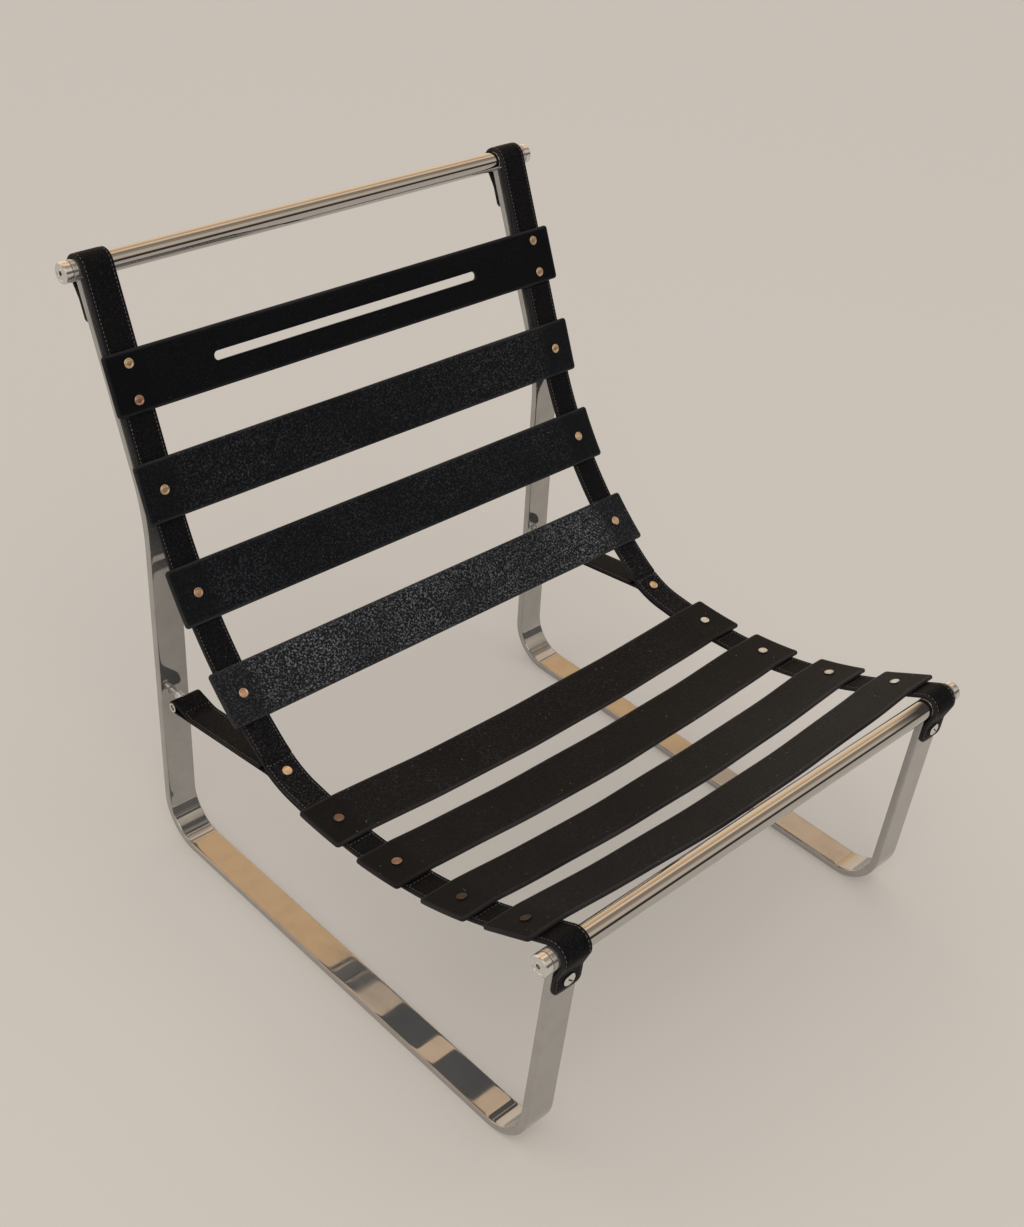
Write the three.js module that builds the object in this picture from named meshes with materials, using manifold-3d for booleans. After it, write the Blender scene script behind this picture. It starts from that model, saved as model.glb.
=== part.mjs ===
import * as THREE from "three";
import { mergeVertices } from "three/addons/utils/BufferGeometryUtils.js";
import Module from "manifold-3d";

const wasm = await Module();
wasm.setup();

// All lengths are millimetres. The chair faces -Y. Its left side frame stands at minus X.
// In the side view a point is a Vector2 of Y and Z, with Y zero in the bar's middle at the front foot.

// Fits
const fit = 0.3;
const flatness = 0.15;
const weldDistance = 0.001;

// Side frames
const frameHalfSpan = 312;
const barWidth = 40;
const barThickness = 10;
const barEdge = 1;
const footDepth = 655;
const footRadius = 55;
const kneeHeight = 310;
const kneeLean = 12;
const headHeight = 729;
const bendHeightShare = 0.6447;
const bendHeight = bendHeightShare * headHeight;
const postLeanShare = 0.033;
const bendSetback = postLeanShare * bendHeight;
const headLeanShare = 0.4286;
const headSetback = headLeanShare * (headHeight - bendHeight);
const bendRadius = 250;

// Cross rods, their sleeves on the frames and the bolts in their ends
const rodRadius = 12.5;
const rodEdge = 0.8;
const sleeveOverhang = 7.5;
const boltRadius = 5;
const boltGrip = 20;
const capLength = 10;
const capEdge = 1;
const capGrooveDepth = 0.8;
const capGrooveLength = 1.2;
const socketRadius = 3.4;
const socketDepth = 5;

// Leather straps that carry the seat
const strapWidth = 40;
const strapThickness = 5;
const strapEdge = 0.6;
const strapCornerShares = [
  [0.904, 0.465],
  [0.659, 0.318],
  [0.3235, 0.2915],
];
const backBendShare = 0.8125;
const jointBendShare = 0.159;
const seatBendShare = 0.784;
const tailLength = 60;
const tailSettle = 32;
const tabLength = 49;
const tabSettle = 25;
const lapRadius = 12;
const lapScrewInset = 14;
const lapCornerRadius = 7;

// Leather slats
const slatOverhang = 10;
const slatLength = 2 * (frameHalfSpan + strapWidth / 2 + slatOverhang);
const slatWidth = 71;
const slatThickness = 4.5;
const slatCornerRadius = 10;
const seatSag = 12;
const slatStationShares = [0.122, 0.239, 0.356, 0.476, 0.664, 0.758, 0.858, 0.952];
const seatSlatStart = 4;
const headRivetPitch = 42;
const slotLength = 408;
const slotWidth = 11;

// Stay straps from the rear posts to the joint of the seat and the back
const jointShare = 0.574;
const stayThickness = 2.4;
const stayLap = 20;
const stayLiftGap = 1;
const stayBendRadius = 12;
const stayClosing = 32;
const stayClosingRadius = 40;
const stayTopEnd = 16;
const stayHeightShare = 0.2936;
const stayHeight = stayHeightShare * headHeight;
const stayReach = 30;
const pinRadius = 4;
const pinHoleRadius = 2;
const pinHoleDepth = 4;
const barrelRadius = 6.5;
const barrelEdge = 1.5;
const neckRadius = 4;
const nutRadius = 7.5;
const nutLength = 7;
const nutWall = 1.6;

// Rivets and screws
const rivetHeadRadius = 6;
const rivetHeadHeight = 1.7;
const rivetDomeShare = 0.6;
const rivetShankRadius = 2;
const rivetTailRadius = 4.5;
const rivetTailHeight = 1.2;
const screwHeadRadius = 6;
const screwHeadHeight = 2.2;
const screwDomeShares = [
  [1, 0.55],
  [0.85, 0.9],
  [0.5, 1],
];
const screwShankRadius = 2.5;
const screwGrip = 7;
const screwSlotWidth = 1.4;
const screwSlotDepth = 1;

// Smoothness of turned pieces, in sides
const rodSides = 32;
const smallSides = 16;
const rivetSides = 12;
const saggingColumns = 8;
const tautColumns = 2;
const slatRows = 3;
const slatCornerSteps = 3;

const acrossAxis = new THREE.Vector3(1, 0, 0);
const sides = { left: -1, right: 1 };

const finishes = {
  steel: [0x9a958c, 0.18, 1],
  chrome: [0xb9b4ab, 0.12, 1],
  strap: [0x1c1a1b, 0.55, 0],
  slat: [0x17171a, 0.6, 0],
  copper: [0xb4683f, 0.35, 1],
};

// Side-view geometry

function point(y, z) {
  return new THREE.Vector2(y, z);
}

function leftOf(direction) {
  return point(-direction.y, direction.x);
}

function moved(start, direction, distance) {
  return start.clone().addScaledVector(direction, distance);
}

function headingTo(start, end) {
  return end.clone().sub(start).normalize();
}

// Points of a circular arc about a centre, from one point through a signed turn.
function arcPoints(centre, start, turn) {
  const spoke = start.clone().sub(centre);
  const largestStep = Math.sqrt((8 * flatness) / spoke.length());
  const steps = Math.ceil(Math.abs(turn) / largestStep);
  const points = [];
  for (let i = 0; i <= steps; i += 1) {
    points.push(spoke.clone().rotateAround(point(0, 0), (turn * i) / steps).add(centre));
  }
  return points;
}

// The signed turn from one direction to another.
function turnBetween(heading, leaving) {
  return Math.atan2(heading.cross(leaving), heading.dot(leaving));
}

// The arc that rounds the corner between two straight runs.
function roundedCorner(before, corner, after, radius) {
  const heading = headingTo(before, corner);
  const turn = turnBetween(heading, headingTo(corner, after));
  const setback = radius * Math.tan(Math.abs(turn) / 2);
  const start = moved(corner, heading, -setback);
  const centre = moved(start, leftOf(heading), radius * Math.sign(turn));
  return arcPoints(centre, start, turn);
}

// The arc that rounds a corner from and to the same distance from it.
function easedCorner(before, corner, after, setback) {
  const turn = turnBetween(headingTo(before, corner), headingTo(corner, after));
  return roundedCorner(before, corner, after, setback / Math.tan(Math.abs(turn) / 2));
}

// Where a straight run from a point touches a circle that lies on the run's left (1) or right (-1).
function touchPoint(start, centre, radius, side) {
  const direct = centre.clone().sub(start);
  const distance = direct.length();
  const lean = Math.asin(radius / distance);
  const heading = direct.normalize().rotateAround(point(0, 0), -side * lean);
  return moved(start, heading, distance * Math.cos(lean));
}

// The arc of a strap that wraps a round piece anticlockwise between two points outside it.
function wrappedArc(before, centre, after, radius) {
  const start = touchPoint(before, centre, radius, 1);
  const end = touchPoint(after, centre, radius, -1);
  const from = start.clone().sub(centre);
  const turn = turnBetween(from, end.clone().sub(centre));
  return arcPoints(centre, start, turn > 0 ? turn : turn + 2 * Math.PI);
}

// A run of points with its distance along itself and its direction at each point.
function runOf(points) {
  const kept = points.filter((p, i) => i === 0 || p.distanceTo(points[i - 1]) > weldDistance);
  const reach = [0];
  for (let i = 1; i < kept.length; i += 1) {
    reach.push(reach[i - 1] + kept[i].distanceTo(kept[i - 1]));
  }
  const headings = kept.map((p, i) => {
    const before = i > 0 ? headingTo(kept[i - 1], p) : headingTo(p, kept[i + 1]);
    const after = i < kept.length - 1 ? headingTo(p, kept[i + 1]) : before;
    return before.clone().add(after).normalize();
  });
  return { points: kept, reach, headings, length: reach[reach.length - 1] };
}

// The place and direction at a distance along a run.
function along(run, distance) {
  const last = run.points.length - 1;
  const found = run.reach.findIndex((r) => r >= distance);
  const next = Math.max(1, found < 0 ? last : found);
  const share = (distance - run.reach[next - 1]) / (run.reach[next] - run.reach[next - 1]);
  const at = run.points[next - 1].clone().lerp(run.points[next], share);
  const heading = run.headings[next - 1].clone().lerp(run.headings[next], share).normalize();
  return { at, heading };
}

// The point beside a run, on its right for a positive offset.
function beside(run, distance, offset) {
  const place = along(run, distance);
  return moved(place.at, leftOf(place.heading), -offset);
}

// The outline of a strip that follows a run at an even thickness.
function stripOutline(run, thickness) {
  const edge = (sign) =>
    run.points.map((p, i) => {
      const before = i > 0 ? headingTo(run.points[i - 1], p) : run.headings[i];
      const stretch = 1 / before.dot(run.headings[i]);
      return moved(p, leftOf(run.headings[i]), (sign * stretch * thickness) / 2);
    });
  return new THREE.Shape([...edge(-1), ...edge(1).reverse()]);
}

// Solids

// A side-view outline made into a solid across the chair, with its middle on X zero.
function acrossSolid(outline, width, edge) {
  const flat = width - 2 * edge;
  const geometry = new THREE.ExtrudeGeometry(outline, {
    depth: flat,
    steps: 1,
    bevelThickness: edge,
    bevelSize: edge,
    bevelOffset: -edge,
    bevelSegments: 1,
  });
  geometry.translate(0, 0, -flat / 2);
  const depthAxis = new THREE.Vector3(0, 1, 0);
  const upAxis = new THREE.Vector3(0, 0, 1);
  geometry.applyMatrix4(new THREE.Matrix4().makeBasis(depthAxis, upAxis, acrossAxis));
  return solidOf(geometry);
}

function solidOf(geometry) {
  const bare = geometry.clone();
  bare.deleteAttribute("normal");
  bare.deleteAttribute("uv");
  const merged = mergeVertices(bare, weldDistance);
  const vertProperties = merged.attributes.position.array;
  const triVerts = new Uint32Array(merged.index.array);
  return new wasm.Manifold(new wasm.Mesh({ numProp: 3, vertProperties, triVerts }));
}

function geometryOf(solid) {
  const mesh = solid.getMesh();
  const geometry = new THREE.BufferGeometry();
  geometry.setAttribute("position", new THREE.BufferAttribute(mesh.vertProperties, 3));
  geometry.setIndex(new THREE.BufferAttribute(mesh.triVerts, 1));
  geometry.computeVertexNormals();
  return geometry;
}

// A frame whose Y axis points along an axis, standing at a place.
function frameAt(place, axis) {
  const helper = Math.abs(axis.x) > Math.SQRT1_2 ? new THREE.Vector3(0, 0, 1) : acrossAxis;
  const depth = new THREE.Vector3().crossVectors(helper, axis).normalize();
  const width = new THREE.Vector3().crossVectors(axis, depth);
  return new THREE.Matrix4().makeBasis(width, axis, depth).setPosition(place);
}

// A turned solid from radius and height pairs, listed upwards from the axis and back to it.
function turned(profile, sideCount, frame) {
  const points = profile.map(([radius, height]) => point(radius, height));
  return solidOf(new THREE.LatheGeometry(points, sideCount).applyMatrix4(frame));
}

function cylinder(radius, low, high, sideCount, frame) {
  const profile = [
    [0, low],
    [radius, low],
    [radius, high],
    [0, high],
  ];
  return turned(profile, sideCount, frame);
}

function block(width, height, depth, low, frame) {
  const geometry = new THREE.BoxGeometry(width, height, depth);
  geometry.translate(0, low + height / 2, 0);
  return solidOf(geometry.applyMatrix4(frame));
}

function minus(body, cutters) {
  return cutters.reduce((rest, cutter) => rest.subtract(cutter), body);
}

// Side view of the frame

const footLine = barThickness / 2;
const frontFoot = point(0, footLine);
const rearFoot = point(footDepth, footLine);
const postBend = point(footDepth + bendSetback, bendHeight);
const headAxis = point(footDepth + bendSetback + headSetback, headHeight);
const kneeAxis = point(-kneeLean, kneeHeight);
const lapOffset = barThickness / 2 + fit + strapThickness / 2;
const strapWrapRadius = rodRadius + fit + strapThickness / 2;

function frameRun() {
  return runOf([
    kneeAxis,
    ...roundedCorner(kneeAxis, frontFoot, rearFoot, footRadius),
    ...roundedCorner(frontFoot, rearFoot, postBend, footRadius),
    ...roundedCorner(rearFoot, postBend, headAxis, bendRadius),
    headAxis,
  ]);
}

// The point beside a bar where a strap lies on it, at a distance from the rod at the bar's end.
function lapPoint(axis, barEnd, distance, side) {
  const down = headingTo(axis, barEnd);
  return moved(moved(axis, down, distance), leftOf(down), side * lapOffset);
}

// The middle line of a main strap, from its tail behind the head rod to its tab on the front leg.
function strapRun() {
  const tailEnd = lapPoint(headAxis, postBend, tailLength, 1);
  const tailBend = lapPoint(headAxis, postBend, tailSettle, 1);
  const tabBend = lapPoint(kneeAxis, frontFoot, tabSettle, -1);
  const tabEnd = lapPoint(kneeAxis, frontFoot, tabLength, -1);
  const corners = strapCornerShares.map(([y, z]) => point(y * footDepth, z * headHeight));
  const [back, joint, seat] = corners;
  const lowerBack = back.distanceTo(joint);
  const rearSeat = joint.distanceTo(seat);
  const head = wrappedArc(tailBend, headAxis, back, strapWrapRadius);
  const knee = wrappedArc(seat, kneeAxis, tabBend, strapWrapRadius);
  const start = head[head.length - 1];
  return {
    start,
    end: knee[0],
    whole: runOf([
      tailEnd,
      ...roundedCorner(tailEnd, tailBend, head[0], lapRadius),
      ...head,
      ...easedCorner(start, back, joint, backBendShare * lowerBack),
      ...easedCorner(back, joint, seat, jointBendShare * lowerBack),
      ...easedCorner(joint, seat, knee[0], seatBendShare * rearSeat),
      ...knee,
      ...roundedCorner(knee[knee.length - 1], tabBend, tabEnd, lapRadius),
      tabEnd,
    ]),
  };
}

const mainStrap = strapRun();
const mainRun = mainStrap.whole;

function reachOf(place) {
  return mainRun.reach[mainRun.points.findIndex((p) => p.distanceTo(place) < weldDistance)];
}

const seatStart = reachOf(mainStrap.start);
const seatLength = reachOf(mainStrap.end) - seatStart;
const slatStations = slatStationShares.map((share) => seatStart + share * seatLength);
const jointStation = seatStart + jointShare * seatLength;

// The post's middle line carries the stay fitting at its own height.
const postHeading = headingTo(rearFoot, postBend);
const stayRoot = moved(rearFoot, postHeading, (stayHeight - footLine) / postHeading.y);
const stayHeading = leftOf(postHeading);
const pinAxis = moved(stayRoot, stayHeading, stayReach);

// How far behind the joint rivet a stay bends away from the main strap, clear of the rivet's tail.
function stayLift(under) {
  const joint = beside(mainRun, jointStation, -under);
  const backwards = along(mainRun, jointStation).heading.negate();
  const turn = turnBetween(backwards, headingTo(joint, pinAxis));
  return rivetTailRadius + stayLiftGap + stayBendRadius * Math.tan(Math.abs(turn) / 2);
}

// The middle line of a stay strap: under the main strap, back to the pin, round it and forward again.
function stayRun() {
  const under = strapThickness / 2 + fit + stayThickness / 2;
  const frontEnd = slatStations[seatSlatStart] + stayLap;
  const lapLength = frontEnd - jointStation + stayLift(under);
  const steps = Math.ceil(lapLength / stayBendRadius);
  const lap = [];
  for (let i = 0; i <= steps; i += 1) {
    lap.push(beside(mainRun, frontEnd - (lapLength * i) / steps, -under));
  }
  const bend = lap.pop();
  const loopRadius = pinRadius + fit + stayThickness / 2;
  const bottomTouch = touchPoint(bend, pinAxis, loopRadius, 1);
  const lower = headingTo(bend, bottomTouch);
  const rise = leftOf(lower).multiplyScalar(stayThickness + fit);
  const closing = moved(bottomTouch, lower, -stayClosing).add(rise);
  const topEnd = moved(bend, lower, stayTopEnd).add(rise);
  const loop = wrappedArc(bend, pinAxis, closing, loopRadius);
  return runOf([
    ...lap,
    ...roundedCorner(lap[lap.length - 1], bend, bottomTouch, stayBendRadius),
    ...loop,
    ...roundedCorner(loop[loop.length - 1], closing, topEnd, stayClosingRadius),
    topEnd,
  ]);
}

// Places in space

function inSpace(x, place) {
  return new THREE.Vector3(x, place.x, place.y);
}

function axisInSpace(heading) {
  return new THREE.Vector3(0, heading.x, heading.y);
}

// A frame on the main strap's middle line that points at the sitter.
function strapFrame(x, station) {
  const place = along(mainRun, station);
  return frameAt(inSpace(x, place.at), axisInSpace(leftOf(place.heading).negate()));
}

// A frame on the face of a bar where a strap end is screwed to it, pointing away from the bar.
function lapFrame(x, axis, barEnd, length, side) {
  const down = headingTo(axis, barEnd);
  const place = moved(axis, down, length - lapScrewInset);
  return frameAt(inSpace(x, place), axisInSpace(leftOf(down).multiplyScalar(side)));
}

function screwFrames(side) {
  const x = side * frameHalfSpan;
  return {
    tab_screw: lapFrame(x, kneeAxis, frontFoot, tabLength, -1),
    tail_screw: lapFrame(x, headAxis, postBend, tailLength, 1),
  };
}

function stayFrame(side) {
  return frameAt(inSpace(side * frameHalfSpan, stayRoot), axisInSpace(stayHeading));
}

function pinFrame(side) {
  return frameAt(inSpace(side * frameHalfSpan, pinAxis), acrossAxis);
}

function rodFrame(x, axis, direction) {
  return frameAt(inSpace(x, axis), acrossAxis.clone().multiplyScalar(direction));
}

// Stations of the rivets, with the pieces each one holds.
function rivetPlan() {
  const slatTop = strapThickness / 2 + fit + slatThickness;
  const strapBack = -strapThickness / 2;
  const stayBack = strapBack - fit - stayThickness;
  const plan = slatStations.flatMap((station, index) => {
    const back = index === seatSlatStart ? stayBack : strapBack;
    const stations = index === 0 ? [-headRivetPitch / 2, headRivetPitch / 2] : [0];
    return stations.map((shift, order) => ({
      name: "rivet_" + (index + 1) + (index === 0 ? "ab"[order] : ""),
      station: station + shift,
      top: slatTop,
      back,
    }));
  });
  plan.push({ name: "rivet_joint", station: jointStation, top: strapThickness / 2, back: stayBack });
  return plan;
}

const rivets = rivetPlan();

function rivetHole(rivet, side) {
  const reach = slatThickness + strapThickness + stayThickness;
  const frame = strapFrame(side * frameHalfSpan, rivet.station);
  return cylinder(rivetShankRadius + fit, -reach, reach, rivetSides, frame);
}

// Pieces

function sideFrame(side) {
  const x = side * frameHalfSpan;
  const bar = acrossSolid(stripOutline(frameRun(), barThickness), barWidth, barEdge);
  const innerEnd = -barWidth / 2;
  const outerEnd = barWidth / 2 + sleeveOverhang;
  let body = bar.translate(x, 0, 0);
  for (const axis of [headAxis, kneeAxis]) {
    body = body.add(cylinder(rodRadius, innerEnd, outerEnd, rodSides, rodFrame(x, axis, side)));
  }
  const bores = [headAxis, kneeAxis].map((axis) => {
    const length = barWidth + sleeveOverhang;
    return cylinder(boltRadius + fit, -length, length, smallSides, rodFrame(x, axis, side));
  });
  const screwHoles = Object.values(screwFrames(side)).map((frame) =>
    cylinder(screwShankRadius + fit, barThickness / 2 - screwGrip - fit, barThickness, smallSides, frame),
  );
  const stayHole = cylinder(neckRadius + fit, -barThickness, barThickness, smallSides, stayFrame(side));
  return minus(body, [...bores, ...screwHoles, stayHole]);
}

function crossRod(axis) {
  const half = frameHalfSpan - barWidth / 2 - fit;
  const holeRadius = boltRadius + fit;
  const holeEnd = half - boltGrip - fit;
  const profile = [
    [0, -holeEnd],
    [holeRadius, -holeEnd],
    [holeRadius, -half],
    [rodRadius - rodEdge, -half],
    [rodRadius, rodEdge - half],
    [rodRadius, half - rodEdge],
    [rodRadius - rodEdge, half],
    [holeRadius, half],
    [holeRadius, holeEnd],
    [0, holeEnd],
  ];
  return turned(profile, rodSides, rodFrame(0, axis, 1));
}

function endBolt(axis, side) {
  const capStart = barWidth / 2 + sleeveOverhang + fit;
  const capEnd = capStart + capLength;
  const grooveEnd = capStart + capGrooveLength;
  const tip = -barWidth / 2 - boltGrip;
  const profile = [
    [0, tip],
    [boltRadius, tip],
    [boltRadius, capStart],
    [rodRadius - capGrooveDepth, capStart],
    [rodRadius - capGrooveDepth, grooveEnd],
    [rodRadius, grooveEnd],
    [rodRadius, capEnd - capEdge],
    [rodRadius - capEdge, capEnd],
    [0, capEnd],
  ];
  const frame = rodFrame(side * frameHalfSpan, axis, side);
  const socket = cylinder(socketRadius, capEnd - socketDepth, capEnd + socketDepth, 6, frame);
  return turned(profile, rodSides, frame).subtract(socket);
}

// What rounds off the two corners at a strap's end, with the end along plus (1) or minus (-1) Z of the frame.
function endCorners(frame, ending) {
  const radius = lapCornerRadius;
  const size = radius + fit;
  const tall = 2 * (barThickness + strapThickness);
  return [-1, 1].map((edge) => {
    const across = edge * (strapWidth / 2 - radius);
    const down = ending * (lapScrewInset - radius);
    const corner = new THREE.BoxGeometry(size, tall, size);
    corner.translate(across + (edge * size) / 2, 0, down + (ending * size) / 2);
    const place = frame.clone().multiply(new THREE.Matrix4().makeTranslation(across, 0, down));
    return solidOf(corner.applyMatrix4(frame)).subtract(cylinder(radius, -tall, tall, rodSides, place));
  });
}

function strap(side) {
  const body = acrossSolid(stripOutline(mainRun, strapThickness), strapWidth, strapEdge);
  const holes = rivets.map((rivet) => rivetHole(rivet, side));
  const frames = screwFrames(side);
  const screwHoles = Object.values(frames).map((frame) =>
    cylinder(screwShankRadius + fit, 0, barThickness + strapThickness, smallSides, frame),
  );
  const corners = [...endCorners(frames.tab_screw, 1), ...endCorners(frames.tail_screw, -1)];
  return minus(body.translate(side * frameHalfSpan, 0, 0), [...holes, ...screwHoles, ...corners]);
}

function stayStrap(side) {
  const body = acrossSolid(stripOutline(stayRun(), stayThickness), strapWidth, strapEdge);
  const holes = rivets.map((rivet) => rivetHole(rivet, side));
  const slotHalf = barrelRadius + 2 * fit;
  const start = stayReach + barrelRadius + 2 * fit;
  const slot = block(2 * slotHalf, start, 4 * slotHalf, 0, stayFrame(side));
  return minus(body.translate(side * frameHalfSpan, 0, 0), [...holes, slot]);
}

function stayStud(side) {
  const frame = stayFrame(side);
  const face = barThickness / 2 + fit;
  const tip = stayReach + barrelRadius;
  const profile = [
    [0, nutWall - face - nutLength + fit],
    [neckRadius, nutWall - face - nutLength + fit],
    [neckRadius, face],
    [barrelRadius, face],
    [barrelRadius, tip - barrelEdge],
    [barrelRadius - barrelEdge, tip],
    [0, tip],
  ];
  const eye = cylinder(pinRadius + fit, -strapWidth, strapWidth, smallSides, pinFrame(side));
  return turned(profile, smallSides, frame).subtract(eye);
}

function stayNut(side) {
  const frame = stayFrame(side);
  const face = -barThickness / 2 - fit;
  const body = cylinder(nutRadius, face - nutLength, face, 6, frame);
  const bore = cylinder(neckRadius + fit, face - nutLength + nutWall, 0, smallSides, frame);
  return body.subtract(bore);
}

function crossPin(side) {
  const half = strapWidth / 2 - fit;
  const profile = [
    [0, pinHoleDepth - half],
    [pinHoleRadius, pinHoleDepth - half],
    [pinHoleRadius, -half],
    [pinRadius, -half],
    [pinRadius, half],
    [pinHoleRadius, half],
    [pinHoleRadius, half - pinHoleDepth],
    [0, half - pinHoleDepth],
  ];
  return turned(profile, smallSides, pinFrame(side));
}

function slatDip(x, sag) {
  const share = x / (frameHalfSpan - barWidth / 2);
  return Math.abs(share) < 1 ? sag * (1 - share ** 2) : 0;
}

// Places along a slat with its half width there, which draws in where its corners round.
function slatPlaces(columns) {
  const straight = slatLength / 2 - slatCornerRadius;
  const end = [];
  for (let i = 0; i <= slatCornerSteps; i += 1) {
    const angle = (i * Math.PI) / (2 * slatCornerSteps);
    const half = slatWidth / 2 - slatCornerRadius * (1 - Math.cos(angle));
    end.push({ x: straight + slatCornerRadius * Math.sin(angle), half });
  }
  const inner = frameHalfSpan - barWidth / 2;
  const span = [];
  for (let i = 0; i <= columns; i += 1) {
    span.push({ x: inner * ((2 * i) / columns - 1), half: slatWidth / 2 });
  }
  const start = end.map((place) => ({ x: -place.x, half: place.half })).reverse();
  return [...start, ...span, ...end];
}

// A slat bent to the line of the straps, with a dip between them.
function slatBody(station, sag) {
  const lift = strapThickness / 2 + fit + slatThickness / 2;
  const positions = [];
  const indices = [];
  const places = slatPlaces(sag > 0 ? saggingColumns : tautColumns);
  for (const { x, half } of places) {
    for (const face of [-1, 1]) {
      for (let row = 0; row <= slatRows; row += 1) {
        const reach = station + half * ((2 * row) / slatRows - 1);
        const offset = lift - slatDip(x, sag) + (face * slatThickness) / 2;
        positions.push(...inSpace(x, beside(mainRun, reach, offset)).toArray());
      }
    }
  }
  const ring = 2 * (slatRows + 1);
  const back = (column, row) => column * ring + row;
  const front = (column, row) => column * ring + slatRows + 1 + row;
  const quad = (a, b, c, d) => indices.push(a, b, c, a, c, d);
  const last = places.length - 1;
  for (let row = 0; row < slatRows; row += 1) {
    for (let column = 0; column < last; column += 1) {
      quad(front(column, row), front(column, row + 1), front(column + 1, row + 1), front(column + 1, row));
      quad(back(column, row), back(column + 1, row), back(column + 1, row + 1), back(column, row + 1));
    }
    quad(back(0, row), back(0, row + 1), front(0, row + 1), front(0, row));
    quad(front(last, row), front(last, row + 1), back(last, row + 1), back(last, row));
  }
  for (let column = 0; column < last; column += 1) {
    quad(back(column, 0), front(column, 0), front(column + 1, 0), back(column + 1, 0));
    quad(
      front(column, slatRows),
      back(column, slatRows),
      back(column + 1, slatRows),
      front(column + 1, slatRows),
    );
  }
  const geometry = new THREE.BufferGeometry();
  geometry.setAttribute("position", new THREE.Float32BufferAttribute(positions, 3));
  geometry.setIndex(indices);
  return solidOf(geometry);
}

// The long hand slot of the head slat, as a solid to cut away.
function slotCutter() {
  const half = (slotLength - slotWidth) / 2;
  const depth = 2 * (slatThickness + strapThickness);
  const outline = new THREE.Shape();
  outline.absarc(half, 0, slotWidth / 2, -Math.PI / 2, Math.PI / 2, false);
  outline.absarc(-half, 0, slotWidth / 2, Math.PI / 2, (3 * Math.PI) / 2, false);
  const geometry = new THREE.ExtrudeGeometry(outline, { depth, bevelEnabled: false, curveSegments: 8 });
  geometry.translate(0, 0, -depth / 2);
  geometry.rotateX(-Math.PI / 2);
  return solidOf(geometry.applyMatrix4(strapFrame(0, slatStations[0])));
}

function slat(index) {
  const body = slatBody(slatStations[index], index < seatSlatStart ? 0 : seatSag);
  const holes = Object.values(sides).flatMap((side) => rivets.map((rivet) => rivetHole(rivet, side)));
  return minus(body, index === 0 ? [...holes, slotCutter()] : holes);
}

function rivetPiece(rivet, side) {
  const head = rivet.top + fit;
  const tail = rivet.back - fit;
  const profile = [
    [0, tail - rivetTailHeight],
    [rivetTailRadius, tail - rivetTailHeight],
    [rivetTailRadius, tail],
    [rivetShankRadius, tail],
    [rivetShankRadius, head],
    [rivetHeadRadius, head],
    [rivetHeadRadius * rivetDomeShare, head + rivetHeadHeight],
    [0, head + rivetHeadHeight],
  ];
  return turned(profile, rivetSides, strapFrame(side * frameHalfSpan, rivet.station));
}

function slottedScrew(frame) {
  const head = barThickness / 2 + fit + strapThickness + fit;
  const tip = barThickness / 2 - screwGrip;
  const top = head + screwHeadHeight;
  const profile = [
    [0, tip],
    [screwShankRadius, tip],
    [screwShankRadius, head],
    [screwHeadRadius, head],
    ...screwDomeShares.map(([radius, height]) => [radius * screwHeadRadius, head + height * screwHeadHeight]),
    [0, top],
  ];
  const slot = block(3 * screwHeadRadius, screwHeadHeight, screwSlotWidth, top - screwSlotDepth, frame);
  return turned(profile, smallSides, frame).subtract(slot);
}

// The chair

const chair = new THREE.Group();
chair.name = "cantilever_lounge_chair";

function addPiece(name, solid, finish) {
  const [color, roughness, metalness] = finishes[finish];
  const material = new THREE.MeshStandardMaterial({ color, roughness, metalness });
  const mesh = new THREE.Mesh(geometryOf(solid), material);
  mesh.name = name;
  chair.add(mesh);
}

addPiece("head_rod", crossRod(headAxis), "steel");
addPiece("front_rod", crossRod(kneeAxis), "steel");
slatStations.forEach((station, index) => addPiece("slat_" + (index + 1), slat(index), "slat"));
for (const [name, side] of Object.entries(sides)) {
  addPiece("side_frame_" + name, sideFrame(side), "steel");
  addPiece("head_bolt_" + name, endBolt(headAxis, side), "chrome");
  addPiece("front_bolt_" + name, endBolt(kneeAxis, side), "chrome");
  addPiece("main_strap_" + name, strap(side), "strap");
  addPiece("stay_strap_" + name, stayStrap(side), "strap");
  addPiece("stay_stud_" + name, stayStud(side), "chrome");
  addPiece("stay_nut_" + name, stayNut(side), "chrome");
  addPiece("stay_pin_" + name, crossPin(side), "chrome");
  for (const [screw, frame] of Object.entries(screwFrames(side))) {
    addPiece(screw + "_" + name, slottedScrew(frame), "chrome");
  }
  for (const rivet of rivets) {
    addPiece(rivet.name + "_" + name, rivetPiece(rivet, side), "copper");
  }
}

// The chair's own origin is the middle of its outline on the floor.
const outlineBox = new THREE.Box3().setFromObject(chair);
const middle = outlineBox.getCenter(new THREE.Vector3());
for (const mesh of chair.children) {
  mesh.geometry.translate(-middle.x, -middle.y, -outlineBox.min.z);
}

export default chair;
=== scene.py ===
import math

import bpy
import numpy as np
from bpy.props import FloatProperty, FloatVectorProperty, PointerProperty
from mathutils import Matrix, Vector


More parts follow.
